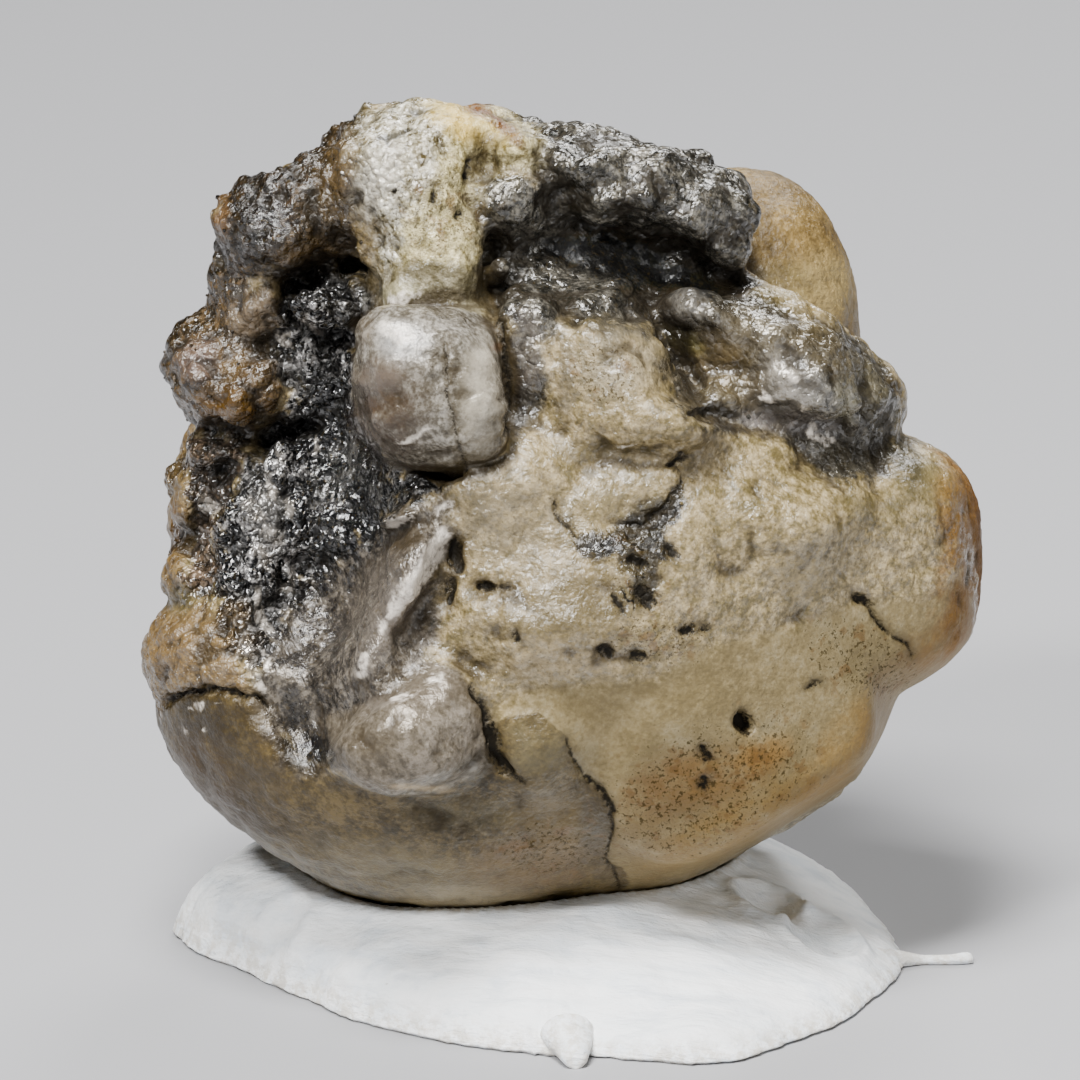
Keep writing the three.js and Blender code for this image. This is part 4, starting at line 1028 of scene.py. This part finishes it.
def reliefTree(name, own):
    # moves every point out or in by each pattern, as high as the attribute of that name says, and keeps
    # the sum as swell
    tree, given = newTree(name, {"Height": "Float"})
    place = upright(addNode(tree, "GeometryNodeInputPosition").outputs[0])
    total = 0.0
    for key, pattern in own.items():
        amount = read(tree, key)
        total = plus(times(pattern(place), amount), total)
    total = times(total, given["Height"])
    kept = store(given["Geometry"], "swell", total, "POINT")
    normal = addNode(tree, "GeometryNodeInputNormal").outputs[0]
    offset = vectorMaths("SCALE", normal, times(read(tree, "swell"), 0.001))
    moved = follow("GeometryNodeSetPosition", {"Geometry": kept, "Offset": offset})
    closeTree(moved.outputs[0], given["Material"])
    return tree


def runTree(piece, tree, settings):
    # adds the tree to the piece as a modifier and sets its inputs by their identifiers
    modifier = piece.modifiers.new(tree.name, "NODES")
    modifier.node_group = tree
    identifiers = {item.name: item.identifier for item in tree.interface.items_tree
                   if item.item_type == "SOCKET" and item.in_out == "INPUT"}
    for name, value in settings.items():
        modifier[identifiers[name]] = value


def makePlain(piece):
    # the mesh that the modifiers make becomes the piece's own
    graph = bpy.context.evaluated_depsgraph_get()
    mesh = bpy.data.meshes.new_from_object(piece.evaluated_get(graph), preserve_all_data_layers=True,
                                           depsgraph=graph)
    piece.modifiers.clear()
    piece.data = mesh
    print(piece.name + ":", len(mesh.polygons), "faces")


def attribute(tree, name):
    return addNode(tree, "ShaderNodeAttribute", attribute_name=name).outputs


def factor(tree, name):
    return attribute(tree, name)["Fac"]


def newMaterial(name):
    # a material with its tree and its shader
    material = bpy.data.materials.new(name)
    material.use_nodes = True
    tree = material.node_tree
    return material, tree, tree.nodes["Principled BSDF"]


def placeIn(tree):
    return upright(addNode(tree, "ShaderNodeTexCoord").outputs["Object"])


def areaLook(tree, noises):
    # the stone's colour, roughness and metal, with the areas laid over the ground one after another
    def tones(look):
        pattern = plus(mixValue(look["fine"], noises["mottle"], noises["speckle"]), noises["grit"])
        dark, mid, light = look["tones"]
        return ramp(pattern, [(0.38, dark), (0.63, light), (0.5, mid)])

    colour = tones(ground)
    rough = ground["rough"]
    metal = ground["metal"]
    for area in areas:
        wander = times(aboutZero(noises["edge"]), area["ragged"] * 2)
        share = mapRange(plus(factor(tree, area["name"]), wander), -area["soft"], area["soft"])
        colour = mixColour(share, colour, tones(area))
        rough = mixValue(share, rough, area["rough"])
        metal = mixValue(share, metal, area["metal"])
    return colour, rough, metal


def stainsSpecksAndLight(tree, place, colour, noises):
    # stains and blooms, with painted highlights, painted shade and painted bounce light among them, thinned
    # by the mottle
    stainAndLight = attribute(tree, "stainAndLight")
    cover = times(stainAndLight["Alpha"], mapRange(noises["edge"], 0.36, 0.56, 0.52, 1.0))
    colour = mixColour(cover, colour, stainAndLight["Color"])

    # specks, most of them dark and some of rust
    gathered = factor(tree, "specks")
    rusty = mapRange(plus(noise(place, 2.6, 3.0, 0.6), times(gathered, 0.07)), 0.62, 0.7)
    colour = mixColour(times(rusty, times(gathered, 0.6)), colour, tone(88, 58, 6))
    darkSpeck = mapRange(plus(noise(place, 11.0, 4.0, 0.75), times(gathered, 0.17)), 0.68, 0.77)
    return mixColour(times(darkSpeck, 0.85), colour, tone(48, 38, 15)), darkSpeck


def pores(place, colour, glint):
    # fine pores all over the rough stone
    holes = mapRange(noise(place, 13.0, 2.0, 0.5), 0.6, 0.68)
    holes = times(holes, mapRange(glint, 0.2, 0.5, 0.15, 0.5))
    return mixColour(holes, colour, tone(70, 58, 30))


def wearDirtAndPaintedLight(tree, colour, glint, noises):
    # darker in the crevices and valleys, dirt with painted shade; lighter crests and tops, wear with painted
    # sheen
    jitter = times(aboutZero(noises["edge"]), 0.5)
    # painted shade with the dirt: the colour darkens where the skin is hollowed and in the valleys of its
    # relief
    dirt = mapRange(plus(factor(tree, "cavity"), jitter), 0.25, 0.7)
    swell = factor(tree, "swell")
    valley = mapRange(swell, -0.015, -0.07)
    dirt = higher(times(dirt, 0.85), times(valley, 0.75))
    grimeAndShadeTone = mixColour(mapRange(glint, 0.55, 0.8), tone(42, 33, 17), tone(17, 15, 12))
    colour = mixColour(dirt, colour, grimeAndShadeTone, "DARKEN")
    # painted sheen with the wear: crests and tops are made lighter
    top = mapRange(swell, 0.01, 0.07)
    litAndWorn = higher(times(mapRange(factor(tree, "crest"), 0.15, 0.5), 0.18), times(top, 0.22))
    litAndWorn = times(litAndWorn, mapRange(glint, 0.35, 0.65, 1.0, 0.05))
    return mixColour(litAndWorn, colour, vectorMaths("SCALE", colour, 2.1)), dirt


def smearsAndGleams(tree, colour, glint, noises):
    # worn edges and painted highlights, pale on the stone and silvery on the crust
    gleamAndWear = factor(tree, "gleamAndWear")
    patchy = plus(gleamAndWear, times(aboutZero(noises["speckle"]), 3.5))
    smearedAndGleaming = times(gleamAndWear, mapRange(patchy, 0.3, 1.3, 0.0, 0.85))
    silvery = mapRange(glint, 0.6, 0.95)
    # painted highlights: a pale colour laid along the paths
    colour = mixColour(times(smearedAndGleaming, mixValue(silvery, 1.0, 0.4)), colour, tone(232, 222, 208))
    return colour, smearedAndGleaming, silvery


def crackStains(tree, place, colour):
    # cracks and pits are stained dark
    mark = follow("ShaderNodeSeparateXYZ", {0: attribute(tree, "mark")["Vector"]})
    side, past, width = mark.outputs
    wander = times(aboutZero(noise(place, 7.0, 3.0, 0.65)), 0.14)
    side = plus(side, wander)
    away = maths("SQRT", plus(times(side, side), times(past, past)))
    fray = plus(times(width, 2.2), 0.12)
    frayed = times(aboutZero(noise(place, 9.0, 4.0, 0.65)), fray)
    inside = plus(minus(width, away), plus(wander, frayed))
    halo = mapRange(inside, -0.22, 0.02, 0.0, 0.45)
    colour = mixColour(halo, colour, tone(62, 51, 27))
    stained = mapRange(inside, -0.05, 0.05)
    return mixColour(stained, colour, tone(24, 20, 12)), stained


def fineRelief(tree, place, glint, stained):
    # the relief too fine for the mesh, in millimetres
    sand = times(noise(place, 9.0, 4.0, 0.55), 2.0)
    small = times(sand, plus(times(factor(tree, "grains"), 0.65), 0.004))
    fibres = times(drawnOut(place, 24, (16.0, 6.0, 2.0)), times(factor(tree, "streaks"), 0.14))
    beaded = mapRange(glint, 0.5, 0.95)
    beads = times(bubbles(place, 6.5), times(beaded, 0.1))
    small = times(small, minus(1.0, times(beaded, 0.6)))
    return bumpFrom(minus(plus(plus(small, fibres), beads), times(stained, 0.03)))


def tilted(bump, facets, amount):
    # every tiny facet of the stone, and of the glassy crust over it, looks its own way
    tilt = vectorMaths("SCALE", eachWay(facets), amount)
    away = vectorMaths("ADD", bump, tilt)
    return follow("ShaderNodeVectorMath", {0: away}, operation="NORMALIZE").outputs[0]


def skinMaterial():
    material, tree, shader = newMaterial("wornPhenakite")
    place = placeIn(tree)
    noises = {
        "mottle": noise(place, 0.8, 4.0, 0.58),
        "speckle": noise(place, 4.2, 4.0, 0.65),
        "edge": noise(place, 2.2, 4.0, 0.62),
        "grit": times(aboutZero(noise(place, 11.0, 2.0, 0.6)), 0.42),
    }
    colour, rough, metal = areaLook(tree, noises)
    colour, darkSpeck = stainsSpecksAndLight(tree, place, colour, noises)
    glint = factor(tree, "glint")
    colour = pores(place, colour, glint)
    colour, dirt = wearDirtAndPaintedLight(tree, colour, glint, noises)
    colour, smearedAndGleaming, silvery = smearsAndGleams(tree, colour, glint, noises)
    colour, stained = crackStains(tree, place, colour)
    dull = higher(higher(stained, darkSpeck), dirt)
    rough = mixValue(times(dull, 0.7), rough, 0.6)
    rough = mixValue(smearedAndGleaming, rough, 0.2)
    metal = mixValue(smearedAndGleaming, metal, times(silvery, 0.9))
    metal = times(metal, minus(1.0, dull))
    bump = fineRelief(tree, place, glint, stained)
    facets = cells(place, 9.5)["Color"]
    sparkling = tilted(bump, facets, times(glint, 0.9))
    few = mapRange(follow("ShaderNodeSeparateXYZ", {0: facets}).outputs[0], 0.52, 0.64, 0.06, 1.0)
    broken = tilted(bump, facets, times(metal, 0.35))
    coat = times(times(mapRange(glint, 0.15, 0.9), few), minus(1.0, stained))
    shine = times(mapRange(glint, 0.15, 0.6, 0.2, 0.4), minus(1.0, times(dull, 0.75)))
    feed(shader, {
        "Base Color": colour, "Roughness": rough, "Metallic": metal, "Normal": broken,
        "Coat Normal": sparkling, "Coat Weight": coat, "Specular IOR Level": shine,
        "Coat Roughness": 0.12, "Coat IOR": 1.7, "IOR": 1.6,
    })
    return material


def cornersOf(mesh):
    corners = np.empty(len(mesh.vertices) * 3)
    mesh.vertices.foreach_get("co", corners)
    return corners.reshape(-1, 3)


def buildCrystal():
    cell = skin["cell"]
    corners = toCrystal(cornersOf(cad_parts["phenakite_crystal"].data))
    low = corners.min(0) - skin["margin"]
    count = tuple(np.ceil((corners.max(0) + skin["margin"] - low) / cell).astype(int))
    field = crystalField(low, count, cell)
    grid = (field, low, cell)
    points, quads = castSkin(field + skin["tuck"], low, cell)
    outward = slopeOf(grid, points)
    print("skin cast:", len(points), "points,", len(quads), "quads")
    paint, grainTone = paintAreas(points)
    painted = {
        **paint,
        "cavity": 1 - sample(grid, points + skin["hollowed"] * outward) / skin["hollowed"],
        "crest": 1 + sample(grid, points - skin["crested"] * outward) / skin["crested"],
        "stainAndLight": paintStainsAndLight(points),
        "specks": gatherSpecks(points),
        "gleamAndWear": wearAndGleamAt(points),
        "grainTone": grainTone,
    }
    points, painted["mark"] = cutMarks(points, outward)
    piece = newMesh("crystal_skin", toRow(points), quads.tolist())
    for name, values in painted.items():
        giveAttribute(piece, name, values)
    runTree(piece, reliefTree("crystalRelief", patterns), {"Height": 1.0, "Material": skinMaterial()})
    thin = piece.modifiers.new("thin", "DECIMATE")
    thin.ratio = min(1.0, skin["triangles"] / (2 * len(quads)))
    makePlain(piece)
    return piece, grid


def keepInBox(piece):
    # no fine relief stands out of the CAD model's box
    corners = np.clip(cornersOf(piece.data), cadLow, cadHigh)
    piece.data.vertices.foreach_set("co", corners.ravel())
    piece.data.update()


crystal, crystalGrid = buildCrystal()
keepInBox(crystal)
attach(crystal, "root")
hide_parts("phenakite_crystal")

# Loose facetted grains on the crusted areas: radius range in millimetres, and the seed of their places.
grains = {"small": 0.025, "large": 0.06, "seed": 5}


def grainTree():
    tree, given = newTree("crustGrains", {"Small": "Float", "Large": "Float", "Seed": "Int"})
    density = times(read(tree, "crust"), 1e6)
    scattered = follow("GeometryNodeDistributePointsOnFaces",
                       {"Mesh": given["Geometry"], "Density": density, "Seed": given["Seed"]},
                       distribute_method="RANDOM")
    grain = addNode(tree, "GeometryNodeMeshIcoSphere", {"Radius": 0.001, "Subdivisions": 1})
    spin = addNode(tree, "FunctionNodeRandomValue", {"Min": (0, 0, 0), "Max": (6.28, 6.28, 6.28)},
                   data_type="FLOAT_VECTOR")
    shape = addNode(tree, "FunctionNodeRandomValue",
                    {"Min": (0.6, 0.6, 0.6), "Max": (1.2, 1.2, 1.2), "Seed": 3},
                    data_type="FLOAT_VECTOR")
    size = follow("FunctionNodeRandomValue", {2: given["Small"], 3: given["Large"]}, data_type="FLOAT")
    placed = follow("GeometryNodeInstanceOnPoints",
                    {"Points": scattered.outputs["Points"], "Instance": grain.outputs[0],
                     "Rotation": spin.outputs[0],
                     "Scale": vectorMaths("SCALE", shape.outputs[0], size.outputs[1])})
    pick = addNode(tree, "FunctionNodeRandomValue", {"Seed": 9}, data_type="FLOAT")
    closeTree(store(placed.outputs[0], "pick", pick.outputs[1], "INSTANCE"), given["Material"])
    return tree


def grainMaterial():
    material, tree, shader = newMaterial("crustGrain")
    flecks = noise(placeIn(tree), 9.0, 3.0, 0.6)
    picked = plus(factor(tree, "pick"), times(aboutZero(flecks), 0.5))
    own = attribute(tree, "grainTone")["Color"]
    colour = mixColour(mapRange(picked, 0.0, 0.75, 0.7, 0.0), own, tone(20, 19, 17))
    colour = mixColour(mapRange(picked, 0.8, 1.2, 0.0, 0.6), colour, tone(196, 188, 176))
    feed(shader, {
        "Base Color": colour, "Roughness": mapRange(flecks, 0.4, 0.6, 0.12, 0.3), "Metallic": 0.15,
        "IOR": 1.65,
    })
    return material


def scatterGrains():
    piece = bpy.data.objects.new("crust_grains", crystal.data.copy())
    scene.collection.objects.link(piece)
    runTree(piece, grainTree(), {"Small": grains["small"], "Large": grains["large"], "Seed": grains["seed"],
                                 "Material": grainMaterial()})
    makePlain(piece)
    piece.data.shade_flat()
    return piece


crustGrains = scatterGrains()
keepInBox(crustGrains)
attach(crustGrains, "root")

# The pad of putty: its outline on the floor, in millimetres from the crystal's middle, from the left
# tip round the front. thickness and edge are its heights, and lip how far it curls up the stone.
# ragged and frayed are how much its edge wanders and trembles, and the stone's underside is felt for
# in steps up to a height of under. strings are the tips and the tail that are drawn out of it.
putty = {
    "centre": [0.1, -0.8], "spokes": 300, "rings": 84, "thickness": 1.85, "edge": 0.22, "lip": 0.3,
    "seed": 11, "ragged": 0.07, "frayed": 0.006, "under": 3.2, "step": 0.06,
    "outline": [
        [-7.3, 1], [-7.2, 0], [-6.7, -1], [-5.9, -2.1], [-4.9, -3.5], [-3.9, -4.8], [-2.8, -5.7],
        [-1.5, -6.4], [-0.2, -6.9], [0.4, -7], [1, -7], [2.2, -7.3], [3.4, -7.45], [4.5, -6.7],
        [5.5, -5.6], [6.3, -4.1], [6.9, -2.7], [7.2, -1.9], [7.3, -1.3], [7.2, -0.6], [7, 0.6],
        [6.7, 2.3], [5.6, 4.2], [3.3, 5.6], [0.2, 6.1], [-3.2, 5.5], [-5.8, 4],
    ],
    "dents": [
        {"at": [4.6, -1.5], "radius": 0.6, "depth": 0.35}, {"at": [5.7, -2.2], "radius": 0.65, "depth": 0.4},
        {"at": [-5.2, -2.2], "radius": 0.5, "depth": 0.2}, {"at": [-4.2, -3.2], "radius": 0.7, "depth": 0.12},
        {"at": [1.5, -5.6], "radius": 1.6, "depth": 0.12},
    ],
    "strings": [
        {"path": [[6.3, -1.9], [7.1, -1.45], [7.7, -1.3], [8.3, -1.3], [8.75, -1.2]],
         "radii": [0.5, 0.24, 0.12, 0.13, 0.17]},
        {"path": [[0.5, -6.5], [0.62, -7.1], [0.7, -7.7]], "radii": [0.6, 0.4, 0.22]},
    ],
}


def smoothRing(corners, count):
    # evenly numbered points of a closed curve through the corners
    corners = np.array(corners)
    steps = np.arange(count) * len(corners) / count
    first = steps.astype(int)
    t = (steps - first)[:, None]
    a, b, c, d = (corners[(first + k) % len(corners)] for k in (-1, 0, 1, 2))
    return 0.5 * (2 * b + (c - a) * t + (2 * a - 5 * b + 4 * c - d) * t**2 + (3 * b - a - 3 * c + d) * t**3)


def undersideAt(places):
    # how high the crystal's skin is above points on the floor, in millimetres, or farOff beside it
    height = np.full(len(places), farOff)
    step = putty["step"]
    before = None
    for z in np.arange(0.0, putty["under"], step):
        points = np.column_stack([places, np.full(len(places), z)]) / 1000
        value = sample(crystalGrid, toCrystal(points))
        if before is not None:
            crossed = (height == farOff) & (before > 0) & (value <= 0)
            height[crossed] = z - step * value[crossed] / (value - before)[crossed]
        before = value
    return height


def strand(path, radii):
    # a closed, slightly flattened string of putty along a path on the floor
    corners = np.array(path, float)
    count, around = 28, 16
    steps = np.linspace(0, len(corners) - 1, count)
    line = np.column_stack([np.interp(steps, range(len(corners)), corners[:, k]) for k in (0, 1)])
    line = (np.vstack([line[:1], line[:-1]]) + line + np.vstack([line[1:], line[-1:]])) / 3
    along = np.gradient(line, axis=0)
    along /= np.linalg.norm(along, axis=1, keepdims=True)
    across = np.column_stack([-along[:, 1], along[:, 0]])
    ends = np.sqrt(np.clip(1 - np.abs(np.linspace(-1, 1, count)) ** 12, 0.002, 1))
    thick = np.interp(steps, range(len(corners)), radii) * ends
    angle = np.arange(around) * 2 * math.pi / around
    side = np.cos(angle)[None, :, None] * across[:, None, :] * thick[:, None, None]
    up = (0.75 * np.sin(angle)[None, :] + 0.7) * thick[:, None]
    points = np.dstack([line[:, None, :] + side, up]).reshape(-1, 3)
    sides = []
    for r in range(count - 1):
        for s in range(around):
            n = (s + 1) % around
            sides.append((r * around + s, r * around + n, (r + 1) * around + n, (r + 1) * around + s))
    sides.append(tuple(range(around - 1, -1, -1)))
    sides.append(tuple(range((count - 1) * around, count * around)))
    return points, sides


def pressedPad():
    # rings of points from the middle of the pad out to its edge, a rim on the floor and a flat base
    rng = np.random.default_rng(putty["seed"])
    spokes, rings = putty["spokes"], putty["rings"]
    centre = np.array(putty["centre"])
    arms = smoothRing(putty["outline"], spokes) - centre
    wander = np.cumsum(rng.normal(0, 1, spokes))
    wander -= np.linspace(wander[0], wander[-1], spokes)
    ragged = putty["ragged"] * wander / wander.std() + putty["frayed"] * rng.normal(0, 1, spokes)
    ragged = ragged / np.linalg.norm(arms, axis=1)
    out = np.sin(np.linspace(0, 1, rings) * math.pi / 2) ** 0.9
    reach = out[:, None] + ragged * smooth((out - 0.8) / 0.2)[:, None]
    places = centre + arms[None] * reach[:, :, None]
    x, y = places[..., 0], places[..., 1]
    steep = np.maximum(4 + 0.3 * y - 0.25 * x, 1.6) + 1.2 * np.maximum(-x - 3.5, 0)
    bulge = (1 - out[:, None] ** steep) ** 0.8
    top = putty["edge"] + (putty["thickness"] - putty["edge"]) * bulge
    for dent in putty["dents"]:
        far = np.hypot(x - dent["at"][0], y - dent["at"][1]) / dent["radius"]
        top -= dent["depth"] * (np.exp(-far**4) - 0.35 * np.exp(-((far - 1.25) / 0.22) ** 2))
    under = undersideAt(places.reshape(-1, 2) + middle[:2]).reshape(x.shape)
    gap = np.maximum(under - top, 0)
    top = np.minimum(top + putty["lip"] * np.exp(-gap / 0.3), under - 0.02)
    rounded = np.sqrt(np.clip(1 - np.clip((out - 0.93) / 0.07, 0, 1) ** 2, 0, 1))[:, None]
    top = np.maximum(top, 0.08) * (0.3 + 0.7 * rounded)
    free = np.clip((under - top) / 0.5, 0, 1) * np.minimum(top / 0.3, 1) * (1 - out[:, None] ** 12)
    rim = (places[-1] - centre) * 0.985 + centre
    points = np.vstack([
        np.dstack([x, y, top]).reshape(-1, 3),
        np.column_stack([rim, np.zeros(spokes)]),
        [[*centre, 0]],
    ])
    sides = []
    for r in range(rings):
        for s in range(spokes):
            n = (s + 1) % spokes
            sides.append((r * spokes + s, (r + 1) * spokes + s, (r + 1) * spokes + n, r * spokes + n))
    for s in range(spokes):
        sides.append((rings * spokes + s, (rings + 1) * spokes, rings * spokes + (s + 1) % spokes))
    return points, sides, np.concatenate([free.ravel(), np.zeros(spokes + 1)])


puttyPatterns = {
    "dents": lambda place: aboutZero(noise(place, 0.8, 3.0)),
    "strokes": lambda place: aboutZero(drawnOut(place, -6, (0.5, 2.6, 4.0), 3.0)),
}


def puttyMaterial():
    material, tree, shader = newMaterial("whitePutty")
    place = placeIn(tree)
    smear = drawnOut(place, -6, (0.5, 1.6, 2.4), 4.0, 0.6)
    cloud = noise(place, 0.7, 3.0, 0.55)
    colour = ramp(smear, [(0.34, (228, 233, 237)), (0.62, (253, 254, 254)), (0.48, (247, 250, 251))])
    colour = mixColour(mapRange(cloud, 0.54, 0.7, 0.0, 0.4), colour, tone(208, 219, 230))
    dirt = noise(place, 3.6, 4.0, 0.7)
    colour = mixColour(mapRange(dirt, 0.69, 0.76, 0.0, 0.5), colour, tone(150, 140, 122))
    near = mapRange(factor(tree, "touch"), 0.35, 1.0, 0.0, 0.55)
    colour = mixColour(times(near, mapRange(dirt, 0.4, 0.6)), colour, tone(186, 172, 146))
    pressed = times(drawnOut(place, -6, (2.0, 7.0, 9.0), 3.0, 0.6), 0.05)
    height = plus(pressed, times(noise(place, 9.0, 3.0, 0.6), 0.02))
    feed(shader, {
        "Base Color": colour, "Roughness": mapRange(smear, 0.35, 0.65, 0.4, 0.62), "Normal": bumpFrom(height),
        "IOR": 1.5,
    })
    return material


def buildPutty():
    points, sides, free = pressedPad()
    for string in putty["strings"]:
        more, faces = strand(string["path"], string["radii"])
        sides += [tuple(i + len(points) for i in face) for face in faces]
        points = np.vstack([points, more])
    free = np.concatenate([free, np.full(len(points) - len(free), 0.1)])
    points[:, :2] += middle[:2]
    piece = newMesh("putty_pad", points / 1000, sides)
    giveAttribute(piece, "dents", 0.34 * free)
    giveAttribute(piece, "strokes", 0.16 * free)
    giveAttribute(piece, "touch", 1 - free)
    neat = bmesh.new()
    neat.from_mesh(piece.data)
    bmesh.ops.remove_doubles(neat, verts=neat.verts, dist=1e-7)
    neat.to_mesh(piece.data)
    neat.free()
    runTree(piece, reliefTree("puttyRelief", puttyPatterns), {"Height": 1.0, "Material": puttyMaterial()})
    makePlain(piece)
    return piece


puttyPad = buildPutty()
keepInBox(puttyPad)
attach(puttyPad, "root")
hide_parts("mounting_putty")

floorReach = 3.0
floorCorners = floorReach * np.array([(-1, -1, 0), (1, -1, 0), (1, 1, 0), (-1, 1, 0)])
floor = newMesh("floor", floorCorners, [(0, 1, 2, 3)])
floorMaterial, _, floorShader = newMaterial("paleFloor")
feed(floorShader, {"Base Color": (0.34, 0.34, 0.35, 1), "Roughness": 0.6})
floor.data.materials.append(floorMaterial)

# Soft studio lamps: where each stands in millimetres, its power in watts and its width.
lamps = [
    {"name": "overheadLamp", "from": (-25, -55, 195), "power": 1.0, "size": 70},
    {"name": "keyLamp", "from": (-75, -130, 145), "power": 0.46, "size": 30},
    {"name": "fillLamp", "from": (150, -100, 60), "power": 0.1, "size": 90},
    {"name": "backLamp", "from": (40, 130, 120), "power": 0.2, "size": 60},
]
aim = Vector((0, 0, 0.008))
for lamp in lamps:
    light = bpy.data.lights.new(lamp["name"], "AREA")
    light.energy = lamp["power"]
    light.size = lamp["size"] / 1000
    holder = bpy.data.objects.new(lamp["name"], light)
    holder.location = Vector(lamp["from"]) / 1000
    holder.rotation_euler = (aim - holder.location).to_track_quat("-Z", "Y").to_euler()
    scene.collection.objects.link(holder)

room = {"Color": (0.58, 0.57, 0.56, 1), "Strength": 0.06}
world = bpy.data.worlds.new("softRoom")
world.use_nodes = True
feed(world.node_tree.nodes["Background"], room)
scene.world = world
print("floor, lamps and room in place")
